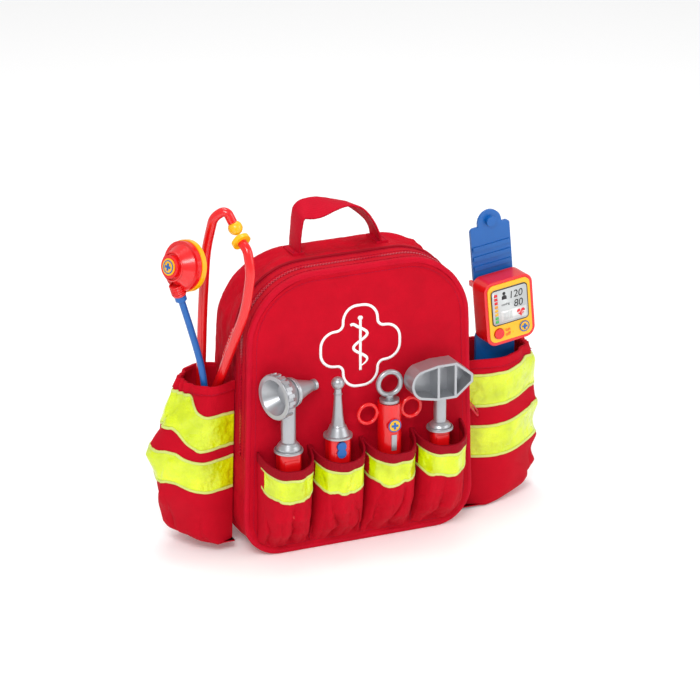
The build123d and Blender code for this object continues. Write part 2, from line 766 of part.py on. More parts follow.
# Wrist monitor, built upright at its own centre and then leaned and turned

def monitor():
    place = Pos(*monitor_centre) * Rot(0, -monitor_lean, monitor_turn)
    half_w = monitor_width / 2
    half_h = monitor_tall / 2
    half_d = monitor_deep / 2

    def plate(width, tall, corner, y_low, y_high):
        face = fillet(Rectangle(width, tall).vertices(), corner)
        return slab(face, y_low, y_high)

    split = 2.0
    shell = plate(monitor_width, monitor_tall, monitor_corner, -half_d, half_d)
    shell = fillet(shell.edges().filter_by(lambda e: abs(e.center().Y - half_d) < 0.01), 5)
    inside = plate(monitor_width - 2 * monitor_wall, monitor_tall - 2 * monitor_wall, monitor_corner - monitor_wall,
                   -half_d + 4, half_d - monitor_wall - 4)
    shell -= inside
    face_y = -half_d
    recess = plate(monitor_width - 2 * bezel_border, monitor_tall - 2 * bezel_border, monitor_corner - bezel_border,
                   face_y - 1, face_y + bezel_thickness)
    button_x = -half_w + 13
    button_z = -half_h + 12
    well = rod((button_x, face_y - 2, button_z), (button_x, face_y + 3.2, button_z), button_radius + 0.4)
    front_half = shell & block(-100, 100, -100, -split, -100, 100)
    back_half = shell & block(-100, 100, -split, 100, -100, 100)
    write("monitor_housing_front", place * (front_half - recess - well))
    bezel = plate(monitor_width - 2 * bezel_border - 0.2, monitor_tall - 2 * bezel_border - 0.2,
                  monitor_corner - bezel_border, face_y - 0.8, face_y + bezel_thickness)
    screen_low = half_h - bezel_border - screen_border - screen_height
    screen_width = monitor_width - 2 * bezel_border - 2 * screen_border
    screen = Pos(0, screen_low + screen_height / 2) * Rectangle(screen_width, screen_height)
    window = fillet(screen.vertices(), 2)
    bezel -= slab(window, face_y - 2, face_y + 0.6)
    write("monitor_bezel", place * (bezel - well))
    write("monitor_screen", place * slab(offset(window, -0.1), face_y - 0.4, face_y + 0.6))
    cap = rod((button_x, face_y - 2.4, button_z), (button_x, face_y + 3.2 - button_travel - 0.3, button_z),
              button_radius)
    write("monitor_button", place * cap)

    strap_y = half_d + 2.6
    pin_z = half_h - 8
    lug_x = cuff_width / 2 + 1.9
    pin = rod((-lug_x - 1, strap_y, pin_z), (lug_x + 1, strap_y, pin_z), cuff_pin_radius)
    for side in (-1, 1):
        back_half += block(side * lug_x - 1.5, side * lug_x + 1.5, half_d - 7, strap_y + 2.6, pin_z - 2.6, pin_z + 2.6)
    write("monitor_housing_back", place * (back_half - pin - inside))
    write("cuff_pin", place * pin)
    low = pin_z
    strap = fillet(Rectangle(cuff_width, cuff_upper_length - 16).vertices(), 4)
    strap = Pos(0, low + (cuff_upper_length - 16) / 2) * strap
    tab = Pos(0, low + cuff_upper_length - 14) * Circle(13)
    flat = slab(strap + tab, strap_y - cuff_thickness / 2, strap_y + cuff_thickness / 2)
    knuckle = rod((-cuff_width / 2, strap_y, pin_z), (cuff_width / 2, strap_y, pin_z), cuff_pin_radius + 0.9)
    bore = rod((-cuff_width, strap_y, pin_z), (cuff_width, strap_y, pin_z), cuff_pin_radius + 0.2)
    rib_count = int((cuff_upper_length - 34) / cuff_rib_pitch)
    ribs = []
    for number in range(rib_count):
        rib_z = low + 12 + number * cuff_rib_pitch
        front = strap_y - cuff_thickness / 2
        ribs.append(block(-cuff_width / 2 + 1, cuff_width / 2 - 1, front - cuff_rib, front + 0.5,
                          rib_z, rib_z + cuff_rib_pitch * 0.45))
    stud_z = low + cuff_upper_length - 12
    stud = rod((0, strap_y, stud_z), (0, strap_y - 5.5, stud_z), cuff_stud_radius)
    upper = flat + knuckle + stud
    for rib in ribs:
        upper += rib
    write("cuff_upper", place * (upper - bore))
    tail_top = -half_h + 10
    tail = block(-cuff_width / 2, cuff_width / 2, half_d, half_d + cuff_thickness,
                 tail_top - cuff_lower_length, tail_top)
    tail = fillet(tail.edges().filter_by(Axis.Y), 12)
    write("cuff_lower", Pos(*monitor_centre) * Rot(0, 0, monitor_turn) * tail)


bag_shell()
front_lid()
emblem()
zip_sliders()
carry_handle()
shoulder_straps()
side_pockets()
tool_pockets()
otoscope()
probe()
syringe()
hammer()
stethoscope()
monitor()
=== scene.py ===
from bisect import bisect_right
from math import atan2, cos, exp, pi, radians, sin, sqrt, tan

import bmesh
import bpy
from mathutils import Matrix, Vector, noise


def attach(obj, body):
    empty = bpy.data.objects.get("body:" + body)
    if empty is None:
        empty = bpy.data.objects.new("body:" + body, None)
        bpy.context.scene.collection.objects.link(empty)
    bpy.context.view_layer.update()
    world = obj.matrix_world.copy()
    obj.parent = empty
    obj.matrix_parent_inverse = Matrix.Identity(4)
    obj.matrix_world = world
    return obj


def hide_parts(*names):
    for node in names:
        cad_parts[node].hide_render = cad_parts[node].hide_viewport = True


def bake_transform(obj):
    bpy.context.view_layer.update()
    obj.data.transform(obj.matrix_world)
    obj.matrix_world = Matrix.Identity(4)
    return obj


# A child's red rescue backpack with toy medical tools. Shapes are worked out in millimetres.

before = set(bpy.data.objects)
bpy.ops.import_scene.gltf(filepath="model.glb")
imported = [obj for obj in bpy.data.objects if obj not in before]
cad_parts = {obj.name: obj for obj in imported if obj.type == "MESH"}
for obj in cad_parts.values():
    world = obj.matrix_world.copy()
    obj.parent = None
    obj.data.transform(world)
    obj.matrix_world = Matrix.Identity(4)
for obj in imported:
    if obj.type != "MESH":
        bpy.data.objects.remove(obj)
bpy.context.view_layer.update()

MM = 0.001
HEIGHT = 284  # of the bag
ZIP_END = 100  # height at which the zip stops on either side
PANEL_Y = -49  # the front panel's face
GUSSET_FRONT = -13  # front edge of the gusset that stays on the bag


# Shader maths written as sums

class Wire:
    """One output of a shader node, which can be added, multiplied and compared."""

    def __init__(self, paint, socket):
        self.paint = paint
        self.socket = socket

    def sum(self, operation, *values):
        return self.paint.add("Math", {"operation": operation}, *values)

    def __add__(self, other):
        return self.sum("ADD", self, other)

    def __mul__(self, other):
        return self.sum("MULTIPLY", self, other)

    __radd__ = __add__
    __rmul__ = __mul__

    def sine(self):
        return self.sum("SINE", self)

    def above(self, limit):
        return self.sum("GREATER_THAN", self, limit)


class Paint:
    """The nodes of a new material or world."""

    def __init__(self, holder):
        holder.use_nodes = True
        self.holder = holder
        self.tree = holder.node_tree
        self.tree.nodes.clear()

    def connect(self, socket, value):
        if isinstance(value, Wire):
            self.tree.links.new(value.socket, socket)
        else:
            socket.default_value = value

    def add(self, kind, settings, *values, output=0, **named):
        """A node of that kind: its settings, its inputs in order, and inputs by name."""
        node = self.tree.nodes.new("ShaderNode" + kind)
        for key, value in settings.items():
            setattr(node, key, value)
        for place, value in enumerate(values):
            self.connect(node.inputs[place], value)
        for key, value in named.items():
            self.connect(node.inputs[key.replace("_", " ")], value)
        return Wire(self, node.outputs[output]) if len(node.outputs) else None

    def place(self, output):
        return self.add("TexCoord", {}, output=output)

    def noise(self, where, scale, detail=3.0, rough=0.55):
        return self.add("TexNoise", {}, Vector=where, Scale=scale, Detail=detail, Roughness=rough)

    def mix(self, share, first, second):
        """A share of the way from one colour to another. The node's colours are its inputs 6 and 7."""
        mixed = self.add("Mix", {"data_type": "RGBA"}, share, output=2)
        for place, colour in ((6, first), (7, second)):
            self.connect(mixed.socket.node.inputs[place], colour)
        return mixed

    def bump(self, height, strength, distance):
        return self.add("Bump", {}, Height=height, Strength=strength, Distance=distance)

    def surface(self, **values):
        self.add("OutputMaterial", {}, self.add("BsdfPrincipled", {}, **values))
        return self.holder


paints = {}


def tint(colour, share):
    return tuple(min(1.0, part * share) for part in colour) + (1.0,)


def cloth(name, colour, pitch=0.0012, rough=0.8, ribs=0.0):
    """Woven cloth: fine crossed threads, or ribs along one way, with slight unevenness."""
    paint = Paint(bpy.data.materials.new(name))
    across = paint.add("SeparateXYZ", {}, paint.place("UV"))
    along = Wire(paint, across.socket.node.outputs[1])
    wave = 2 * pi / pitch
    if ribs:
        threads = (across * (2 * pi / ribs)).sine() * 0.6 + (along * wave).sine() * 0.3
    else:
        threads = (across * wave).sine() * (along * wave).sine()
    body = paint.place("Object")
    uneven = paint.noise(body, 55.0, 4.0)
    fine = paint.noise(body, 900.0, 2.0)
    height = threads * 0.5 + fine * 0.7 + uneven * 0.5
    shade = paint.mix(uneven, tint(colour, 0.80), tint(colour, 1.16))
    shade = paint.mix(fine * 0.45, shade, tint(colour, 0.62))
    paints[name] = paint.surface(
        Base_Color=shade, Roughness=rough, Sheen_Weight=0.03, Sheen_Roughness=0.5,
        Sheen_Tint=tint(colour, 1.3), Specular_IOR_Level=0.14,
        Normal=paint.bump(height, 0.45, 0.0005),
    )


def reflective(name, colour):
    """Glossy reflective tape: tiny pressed cells under a clear skin that creases, and a faint painted glow."""
    paint = Paint(bpy.data.materials.new(name))
    where = paint.place("UV")
    body = paint.place("Object")
    cells = paint.add("TexVoronoi", {"feature": "DISTANCE_TO_EDGE"}, Vector=where, Scale=420.0)
    creases = paint.noise(body, 62.0, 2.0, 0.5)
    # Painted glow: the tape's colour, lightly varied, is also emitted faintly, so the tape looks brighter than the
    # lamps make it.
    broad = paint.noise(body, 38.0, 2.0)
    painted_glow = paint.mix(broad, tint(colour, 0.8), tint(colour, 1.1))
    mottle = paint.noise(body, 46.0, 2.0, 0.5)
    shade = paint.mix(mottle, tint(colour, 0.5), tint(colour, 1.35))
    shade = paint.mix(cells.above(0.08) * 0.3 + 0.7, tint(colour, 0.7), shade)
    paints[name] = paint.surface(
        Base_Color=shade, Roughness=creases * 0.3 + 0.16, Coat_Weight=0.45, Coat_Roughness=0.12,
        # The emission is the painted glow; the tape is no lamp.
        Emission_Color=painted_glow, Emission_Strength=0.10,
        Normal=paint.bump(creases + cells * 0.06, 0.9, 0.007),
    )


def plastic(name, colour, rough=0.28, metal=0.0, coat=0.25, grain=0.04):
    """Moulded plastic with faint waviness, scuffs and a clear top."""
    paint = Paint(bpy.data.materials.new(name))
    body = paint.place("Object")
    broad = paint.noise(body, 24.0, 3.0)
    speck = paint.noise(body, 1500.0, 1.0)
    scuff = paint.noise(body, 210.0, 5.0, 0.7)
    shade = paint.mix(broad, tint(colour, 0.93), tint(colour, 1.05))
    shade = paint.mix(speck * (grain * 4), shade, tint(colour, 1.25))
    paints[name] = paint.surface(
        Base_Color=shade, Roughness=scuff * 0.16 + (rough - 0.06), Metallic=metal,
        Coat_Weight=coat, Coat_Roughness=0.08,
        Normal=paint.bump(broad * 0.7 + scuff * 0.2, 0.12, 0.0008),
    )


cloth("red_fabric", (0.57, 0.0, 0.014))
cloth("dark_red_binding", (0.33, 0.0, 0.01), ribs=0.0016, rough=0.7)
cloth("red_webbing", (0.57, 0.0, 0.018), ribs=0.0024, rough=0.7)
reflective("lime_reflective", (0.64, 0.83, 0.0))
cloth("lime_edge", (0.72, 0.82, 0.22), pitch=0.0009, rough=0.6)
cloth("thread", (0.46, 0.004, 0.03), pitch=0.0006, rough=0.6)
plastic("white_print", (0.93, 0.92, 0.92), rough=0.55, coat=0.0, grain=0.0)
plastic("zip_red", (0.5, 0.003, 0.025), rough=0.35)
plastic("zip_metal", (0.60, 0.01, 0.03), rough=0.3, metal=0.25)
plastic("silver_plastic", (0.40, 0.41, 0.43), rough=0.34, metal=0.7, coat=0.12, grain=0.12)
plastic("red_plastic", (0.72, 0.004, 0.006), rough=0.22, coat=0.35)
plastic("blue_plastic", (0.0, 0.105, 0.40), rough=0.36, coat=0.1)
plastic("yellow_plastic", (0.90, 0.46, 0.0), rough=0.27)
plastic("screen_print", (0.56, 0.58, 0.58), rough=0.3, coat=0.6)
for ink, colour in (
    ("black_ink", (0.012, 0.012, 0.014)), ("red_ink", (0.75, 0.01, 0.02)), ("green_ink", (0.08, 0.5, 0.12)),
    ("orange_ink", (0.9, 0.32, 0.02)),
):
    plastic(ink, colour, rough=0.4, coat=0.0, grain=0.0)
plastic("pale_label", (0.78, 0.79, 0.78), rough=0.3, coat=0.5, grain=0.0)
plastic("dark_red_plastic", (0.3, 0.004, 0.02), rough=0.4)


# Mesh makers

BLOCK_CORNERS = ((-1, -1, -1), (1, -1, -1), (1, 1, -1), (-1, 1, -1),
                 (-1, -1, 1), (1, -1, 1), (1, 1, 1), (-1, 1, 1))
BLOCK_FACES = ((0, 3, 2, 1), (4, 5, 6, 7), (0, 1, 5, 4), (1, 2, 6, 5), (2, 3, 7, 6), (3, 0, 4, 7))
STITCH_SHARE = 0.68  # a stitch's length in its pitch
STITCH_WIDTH = 0.55
STITCH_THICKNESS = 0.5


def blank(name, spots, faces):
    """A smooth object from points in millimetres and its faces."""
    mesh = bpy.data.meshes.new(name)
    mesh.from_pydata([Vector(spot) * MM for spot in spots], [], faces)
    mesh.polygons.foreach_set("use_smooth", [True] * len(mesh.polygons))
    obj = bpy.data.objects.new(name, mesh)
    bpy.context.scene.collection.objects.link(obj)
    return obj


def running(points, closed):
    """How far each point lies along a line of points in millimetres, in metres."""
    marks = [0.0]
    loop = points + points[:1] if closed else points
    for here, after in zip(loop, loop[1:]):
        marks.append(marks[-1] + (after - here).length * MM)
    return marks


def grid(name, point, across, along, round_across=False, round_along=False):
    """A mesh over point(u, v), with both running from 0 to 1, and texture places in metres."""
    columns = across if round_across else across + 1
    lines = along if round_along else along + 1
    rows = [[Vector(point(i / across, j / along)) for i in range(columns)] for j in range(lines)]
    faces = []
    places = []
    us = running(rows[lines // 2], round_across)
    vs = running([row[columns // 2] for row in rows], round_along)
    for j in range(along):
        for i in range(across):
            right = (i + 1) % columns
            up = (j + 1) % lines
            faces.append((j * columns + i, j * columns + right, up * columns + right, up * columns + i))
            places += [us[i], vs[j], us[i + 1], vs[j], us[i + 1], vs[j + 1], us[i], vs[j + 1]]
    obj = blank(name, [spot for row in rows for spot in row], faces)
    obj.data.uv_layers.new(name="UVMap").data.foreach_set("uv", places)
    return obj


def bake(obj):
    """Turns an object's modifiers into its mesh."""
    graph = bpy.context.evaluated_depsgraph_get()
    mesh = bpy.data.meshes.new_from_object(obj.evaluated_get(graph))
    obj.modifiers.clear()
    obj.data = mesh
    return obj


def thicken(obj, thickness):
    solid = obj.modifiers.new("thickness", "SOLIDIFY")
    solid.thickness = thickness * MM
    solid.offset = 0.0
    return bake(obj)


def finish(obj, paint, body=None, stands_for=()):
    obj.data.materials.clear()
    obj.data.materials.append(paints[paint])
    if body:
        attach(obj, body)
    if stands_for:
        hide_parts(*stands_for)
    return obj


def boxes(name, places):
    """Small blocks in one mesh, each given by its middle, its two directions and its three sizes."""
    spots = []
    faces = []
    for middle, along, up, size in places:
        along = Vector(along).normalized()
        side = along.cross(Vector(up)).normalized()
        up = side.cross(along)
        first = len(spots)
        for a, b, c in BLOCK_CORNERS:
            reach = along * a * size[0] + side * b * size[1] + up * c * size[2]
            spots.append(Vector(middle) + reach / 2)
        for quad in BLOCK_FACES:
            faces.append(tuple(first + corner for corner in quad))
    obj = blank(name, spots, faces)
    obj.data.polygons.foreach_set("use_smooth", [False] * len(obj.data.polygons))
    return obj


def stitches(name, routes, body, pitch=3.4):
    """Sewing thread: each route is a list of (point, outward direction)."""
    places = []
    for route in routes:
        points = [Vector(point) for point, out in route]
        outs = [Vector(out) for point, out in route]
        marks = running(points, False)
        total = marks[-1] / MM
        for number in range(int(total / pitch)):
            mark = (number + 0.5) * pitch * MM
            k = min(bisect_right(marks, mark) - 1, len(points) - 2)
            share = (mark - marks[k]) / max(marks[k + 1] - marks[k], 1e-9)
            middle = points[k].lerp(points[k + 1], share) + outs[k] * 0.15
            size = (pitch * STITCH_SHARE, STITCH_WIDTH, STITCH_THICKNESS)
            places.append((middle, points[k + 1] - points[k], outs[k], size))
    return finish(boxes(name, places), "thread", body)


def join(name, parts):
    bpy.ops.object.select_all(action="DESELECT")
    for part in parts:
        part.select_set(True)
    bpy.context.view_layer.objects.active = parts[0]
    bpy.ops.object.join()
    parts[0].name = name
    parts[0].select_set(False)
    return parts[0]


def close_ends(obj, columns, lines):
    """Caps both ends of a tube made by grid with round_along."""
    mesh = bmesh.new()
    mesh.from_mesh(obj.data)
    mesh.verts.ensure_lookup_table()
    for end in (0, columns - 1):
        ring = [mesh.verts[line * columns + end] for line in range(lines)]
        mesh.faces.new(ring if end == 0 else ring[::-1])
    mesh.to_mesh(obj.data)
    mesh.free()
    return obj


def ease(low, high, value):
    """A smooth step from 0 to 1 between two values, or back where low is the larger."""
    share = min(1.0, max(0.0, (value - low) / (high - low)))
    return share * share * (3 - 2 * share)


def mix(first, second, share):
    return first + (second - first) * share


def crease(x, y, z, size, seed=0.0):
    """Unevenness with coarse and fine parts, of about that size."""
    return noise.fractal(Vector((x / size + seed, y / size, z / size)), 0.8, 2.1, 4)


def ripple(x, y, z, size):
    """Broad, smooth unevenness, without the fine part that crease has."""
    return noise.noise(Vector((x, y, z)) / size)


def spline(points, share):
    """A smooth curve through points, at a share of its run."""
    last = len(points) - 1
    place = min(max(share, 0.0), 0.99999) * last
    k = int(place)
    t = place - k
    a, b = Vector(points[max(k - 1, 0)]), Vector(points[k])
    c, d = Vector(points[k + 1]), Vector(points[min(k + 2, last)])
    bend = (2 * a - 5 * b + 4 * c - d) * t**2 + (3 * b - a - 3 * c + d) * t**3
    return 0.5 * (2 * b + (c - a) * t + bend)


def heading(points, share):
    """The direction of a smooth curve at a share of its run."""
    step = 0.01
    way = spline(points, min(1, share + step)) - spline(points, max(0, share - step))
    return way.normalized()


# The bag's outline, as the CAD has it

FOOT_HALF = 120  # half the bag's width at its bottom
SLOPE = 8 / HEIGHT  # how fast each side leans in
LOW_CORNER = 38
HIGH_CORNER = 68


def half_width(z):
    return FOOT_HALF - SLOPE * z


def back_at(z):
    """The back panel's place, which leans forward towards the top."""
    return 50 - 22 * z / HEIGHT


class Rim:
    """The rounded outline at an inset, from the middle of the bottom, up the right side and round."""

    def __init__(self, inset):
        side = inset * sqrt(1 + SLOPE**2)
        low, high = inset, HEIGHT - inset
        low_x, high_x = half_width(low) - side, half_width(high) - side
        corners = [(low_x, low, LOW_CORNER - inset), (high_x, high, HIGH_CORNER - inset),
                   (-high_x, high, HIGH_CORNER - inset), (-low_x, low, LOW_CORNER - inset)]
        points = [Vector((0, low))]
        for k, (x, z, radius) in enumerate(corners):
            here = Vector((x, z))
            before = (Vector(corners[k - 1][:2]) - here).normalized()
            after = (Vector(corners[(k + 1) % 4][:2]) - here).normalized()
            half = before.angle(after) / 2
            centre = here + (before + after).normalized() * radius / sin(half)
            start = (here + before * radius / tan(half) - centre).normalized()
            end = (here + after * radius / tan(half) - centre).normalized()
            points += [centre + start.slerp(end, step / 20) * radius for step in range(21)]
        self.points = points + [points[0]]
        self.marks = running(self.points, False)

    def at(self, share):
        """x and z at a share of the way round, and the outward direction there."""
        mark = (share % 1.0) * self.marks[-1]
        k = min(bisect_right(self.marks, mark) - 1, len(self.points) - 2)
        here, after = self.points[k], self.points[k + 1]
        ahead = self.points[(k + 2) % (len(self.points) - 1)]
        past = (mark - self.marks[k]) / (self.marks[k + 1] - self.marks[k])
        spot = here.lerp(after, past)
        way = (after - here).normalized().lerp((ahead - after).normalized(), past * 0.5)
        way.normalize()
        return spot.x, spot.y, way.y, -way.x

    def share_at(self, z):
        """How far round the outline first reaches a height."""
        steps = 4000
        return next(step / steps for step in range(steps) if self.at(step / steps)[1] >= z)


rims = {inset: Rim(inset) for inset in (0.8, 1.6, 2.2, 3.0, 9.0)}
zip_share = rims[1.6].share_at(ZIP_END)


def panel_half(z, inset):
    """Half the outline's width at a height."""
    wide = half_width(z) - inset
    for from_edge, corner in ((z - inset, LOW_CORNER), (HEIGHT - inset - z, HIGH_CORNER)):
        radius = corner - inset
        deep = radius - from_edge
        if deep > 0:
            wide -= radius - sqrt(max(radius**2 - deep**2, 0))
    return max(wide, 0.5)


# Bag body

HANDLE_FOOT = 43  # from the middle to each foot of the carry handle
HANDLE_Y = 9.1


def body_point(u, v):
    """The cloth round the bag: creased, with long folds on the top that end at the handle's feet."""
    x, z, nx, nz = rims[0.8].at(u)
    y = mix(GUSSET_FRONT - 0.5, back_at(z) - 3, v)
    top = ease(170, 262, z)
    calm = 1 - exp(-((abs(x) - HANDLE_FOOT) / 14) ** 2) * top
    folds = 2.8 * crease(x * 0.6, y * 1.2, z * 0.6, 30)
    folds += 3.0 * (0.3 - abs(crease(x, y * 0.8, z, 60, 7)))
    folds += top * 1.9 * sin(0.16 * y + 0.03 * x + 4 * crease(x, y, z, 80, 5))
    dent = -2.4 * exp(-((x - 62) / 20) ** 2) * exp(-((y + 2) / 7) ** 2) * top
    shift = min(1, 7 * v, 7 * (1 - v)) * ease(4, 40, z) * calm * (folds + dent - 0.8)
    return x + nx * shift, y, z + nz * shift


bag_body = thicken(grid("bag_body", body_point, 420, 40, round_across=True), 1.6)
finish(bag_body, "red_fabric", "bag", ("main_gusset", "bottom_panel"))


def lower_point(u, v):
    x, z, nx, nz = rims[1.6].at((2 * u - 1) * zip_share)
    y = mix(-44, GUSSET_FRONT + 1, v)
    shift = sin(pi * v) * ease(4, 40, z) * (1.6 * crease(x, y, z, 22) - 0.6)
    return x + nx * shift, y, z + nz * shift


lower_front = thicken(grid("lower_front_gusset", lower_point, 220, 16), 1.4)
finish(lower_front, "red_fabric", stands_for=("lower_gusset_left", "lower_gusset_right"))
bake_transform(lower_front)


def edge_roll(name, inset, y_at, wide, deep, body, stands_for, low=0.0, high=1.0):
    """A rounded edge binding or piping along the outline."""
    whole = high - low > 0.999

    def point(u, v):
        x, z, nx, nz = rims[inset].at(mix(low, high, u))
        turn = 2 * pi * v
        c = cos(turn) * abs(cos(turn)) ** -0.35 if abs(cos(turn)) > 1e-3 else 0
        s = sin(turn) * abs(sin(turn)) ** -0.35 if abs(sin(turn)) > 1e-3 else 0
        uneven = 0.30 * crease(x, y_at(z), z, 14) * ease(3, 20, z)
        out = wide * c + uneven
        return x + nx * out, y_at(z) + deep * s + uneven * 0.6, z + nz * out

    obj = grid(name, point, 420, 14, round_across=whole, round_along=True)
    paint = "dark_red_binding" if wide < 2 else "red_webbing"
    return finish(obj, paint, body, stands_for)


edge_roll("front_edge_binding", 3.0, lambda z: -47, 2.9, 3.0, "front", ("front_binding",))
edge_roll("back_edge_binding", 3.0, lambda z: back_at(z) - 3, 3.0, 3.0, "bag", ("back_binding",))
edge_roll("zip_side_piping", 0.8, lambda z: GUSSET_FRONT - 1.5, 1.5, 1.6, "bag", ("gusset_piping",),
          zip_share, 1 - zip_share)


# Zip: two tapes and two rows of teeth

def tape(name, y_low, y_high, body, stands_for):
    def point(u, v):
        x, z, nx, nz = rims[1.6].at(mix(zip_share, 1 - zip_share, u))
        y = mix(y_low, y_high, v)
        shift = 0.35 * sin(pi * v) + 0.25 * crease(x, y, z, 18) - 0.2
        return x + nx * shift, y, z + nz * shift

    return finish(thicken(grid(name, point, 300, 8), 1.3), "red_fabric", body, stands_for)


tape("front_zip_tape", -44.2, -33.9, "front", ("front_zip",))
tape("rear_zip_tape", -30.4, -15.2, "bag", ("rear_zip",))


TOOTH_PITCH = 3.0
TOOTH_SIZE = (1.7, 1.9, 3.0)


def teeth(name, y, body, first):
    """A row of teeth. The two rows differ by half a pitch in where they start."""
    rim = rims[2.2]
    total = rim.marks[-1] / MM
    places = []
    for number in range(int(total * (1 - 2 * zip_share) / TOOTH_PITCH) - 1):
        x, z, nx, nz = rim.at(zip_share + (number + first) * TOOTH_PITCH / total)
        places.append(((x, y, z), (-nz, 0, nx), (nx, 0, nz), TOOTH_SIZE))
    return finish(boxes(name, places), "zip_red", body)


teeth("front_zip_teeth", -33.1, "front", 0.5)
teeth("rear_zip_teeth", -30.9, "bag", 1.0)


def rim_route(inset, y, low, high, out_y=0.0, lift=0.9):
    """A line of stitches along the outline, on its side or, with out_y, on a panel."""
    count = 300
    route = []
    for step in range(count + 1):
        x, z, nx, nz = rims[inset].at(mix(low, high, step / count))
        out = Vector((0, out_y, 0)) if out_y else Vector((nx, 0, nz))
        route.append((Vector((x, y, z)) + out * lift, out))
    return route


for name, rows, body in (("front", (-42.6,), "front"), ("rear", (-27.2, -18.4), "bag")):
    stitches(f"zip_stitches_{name}", [rim_route(1.6, y, zip_share, 1 - zip_share) for y in rows], body)


# Front panel and its emblem

def panel_y(x, z):
    """The front panel's cloth, which stands out in the middle and is held flat above the pockets."""
    wide = panel_half(z, 6)
    puff = 2.2 * (1 - min(1, abs(x) / wide) ** 2.5) * sin(pi * min(1, max(0, (z - 6) / 272)))
    folds = 0.9 * crease(x, 0, z, 70) + 0.35 * crease(x, 3, z, 20)
    edge = min(1, (wide - abs(x)) / 10, (278 - z) / 12)
    slack = 0.5 * sin(0.22 * x + 0.8 * sin(z / 30)) * ease(150, 112, z)
    slack += 2.2 * (sqrt(ripple(x + 0.4 * z, 11, z, 62) ** 2 + 0.002) - 0.2)
    y = PANEL_Y - puff + (folds + slack) * max(0, edge)
    most = mix(PANEL_Y - 6, PANEL_Y - 1.3, ease(115, 135, z))
    return (y + most + sqrt((y - most) ** 2 + 0.4)) / 2


def panel_place(u, v):
    """x and z on a panel that ends under its binding, with more points near its edges."""
    inset = 5
    z = mix(inset, HEIGHT - inset, 0.5 - 0.5 * cos(pi * v))
    return sin((u - 0.5) * pi) * panel_half(z, inset), z


def panel_point(u, v):
    x, z = panel_place(u, v)
    return x, panel_y(x, z), z


front_cloth = thicken(grid("front_panel_cloth", panel_point, 150, 170), 1.4)
finish(front_cloth, "red_fabric", "front", ("front_panel",))


def back_point(u, v):
    x, z = panel_place(u, v)
    wide = panel_half(z, 5)
    puff = 1.6 * (1 - min(1, abs(x) / wide) ** 3) * (0.6 + 0.4 * cos(x * 0.055) * cos(z * 0.05))
    return x, back_at(z) - 2.6 + puff * sin(pi * v) + 0.6 * crease(x, 9, z, 45), z


finish(thicken(grid("back_panel_cloth", back_point, 110, 130), 1.6), "red_fabric", "bag", ("back_panel",))
panel_route = rim_route(9.0, panel_y(0, 270) - 0.2, 0.0, 1.0, out_y=-1.0, lift=0.6)
stitches("front_panel_stitches", [panel_route], "front")

EMBLEM_Z = 203
PRINT_THICKNESS = 0.3
LINE_WIDTH = 2.6
SNAKE_SWING = 7.0
SNAKE_PITCH = 26


def cross_outline(inset):
    """The rounded cross, as a ring of points."""
    reach, arm, lobe, notch = 42 - inset, 19 - inset, 16 - inset, 5.6 + inset
    quarter = []
    for centre, radius, start, turn in (
        ((reach - lobe, arm - lobe), lobe, 0, 90), ((arm + notch, arm + notch), notch, 270, -90),
        ((arm - lobe, reach - lobe), lobe, 0, 90),
    ):
        for step in range(9):
            a = radians(start + turn * step / 8)
            quarter.append((centre[0] + radius * cos(a), centre[1] + radius * sin(a)))
    ring = []
    for turn in range(4):
        for x, z in quarter:
            for _ in range(turn):
                x, z = -z, x
            ring.append((x, z))
    return ring


def on_panel(points, lift):
    return [(x, panel_y(x, z + EMBLEM_Z) - lift, z + EMBLEM_Z) for x, z in points]


def band(points, width):
    """Both edges of a line, with a width for each of its points."""
    left = []
    right = []
    for k, (x, z) in enumerate(points):
        before, after = points[max(k - 1, 0)], points[min(k + 1, len(points) - 1)]
        way = Vector((after[0] - before[0], after[1] - before[1])).normalized()
        left.append((x - way.y * width[k] / 2, z + way.x * width[k] / 2))
        right.append((x + way.y * width[k] / 2, z - way.x * width[k] / 2))
    return left, right


def line_print(name, points, widths):
    left, right = band(points, widths)
    count = len(points)
    faces = [(k, k + 1, count + k + 1, count + k) for k in range(count - 1)]
    return blank(name, on_panel(left + right, 0.95), faces)


outer, inner = cross_outline(0), cross_outline(LINE_WIDTH)
count = len(outer)
faces = [(k, count + k, count + (k + 1) % count, (k + 1) % count) for k in range(count)]
emblem = thicken(blank("emblem_cross", on_panel(outer + inner, 0.9), faces), PRINT_THICKNESS)
finish(emblem, "white_print", "front", ("emblem",))
staff = [(0, z) for z in range(-25, 28, 2)]
snake = [(SNAKE_SWING * sin((z + 21) * 2 * pi / SNAKE_PITCH), z) for z in [k * 0.5 for k in range(-42, 44)]]
head_x, head_z = snake[-1]
snake += [(head_x + dx, head_z + dz) for dx, dz in ((-1.6, 1.0), (-3.4, 1.2), (-5.0, 0.4))]
for name, points, widths in (
    ("emblem_staff", staff, [LINE_WIDTH] * len(staff)),
    ("emblem_snake", snake, [mix(1.0, 2.8, min(1, k / 18)) for k in range(len(snake))]),
    ("emblem_staff_knob", [(0, 26), (0, 27.4), (0, 29), (0, 30.2)], [3.0, 5.0, 5.0, 2.4]),
):
    finish(thicken(line_print(name, points, widths), PRINT_THICKNESS), "white_print", "front")


# Tool pockets

def through(stations, z):
    """A smooth value at a height from (height, value) stations."""
    for (low, first), (high, second) in zip(stations, stations[1:]):
        if z <= high:
            return mix(first, second, min(1, max(0, (z - low) / (high - low))))
    return stations[-1][1]


TOOL_DEPTHS = [(12, 8), (28, 21), (45, 29), (75, 33), (112, 35)]  # height, depth
TOOL_X = [-79.5, -26.5, 26.5, 79.5]
TOOL_HALF = 25.6
TOOL_PITCH = TOOL_X[1] - TOOL_X[0]


def mouth_z(t):
    """A tool pocket's edge, which dips between its seams."""
    return 100 + 11 * t * t


def pocket_floor(x):
    """The height of the panel's rounded bottom edge under x."""
    z = 9
    while panel_half(z, 7) < abs(x) and z < 60:
        z += 0.5
    return z


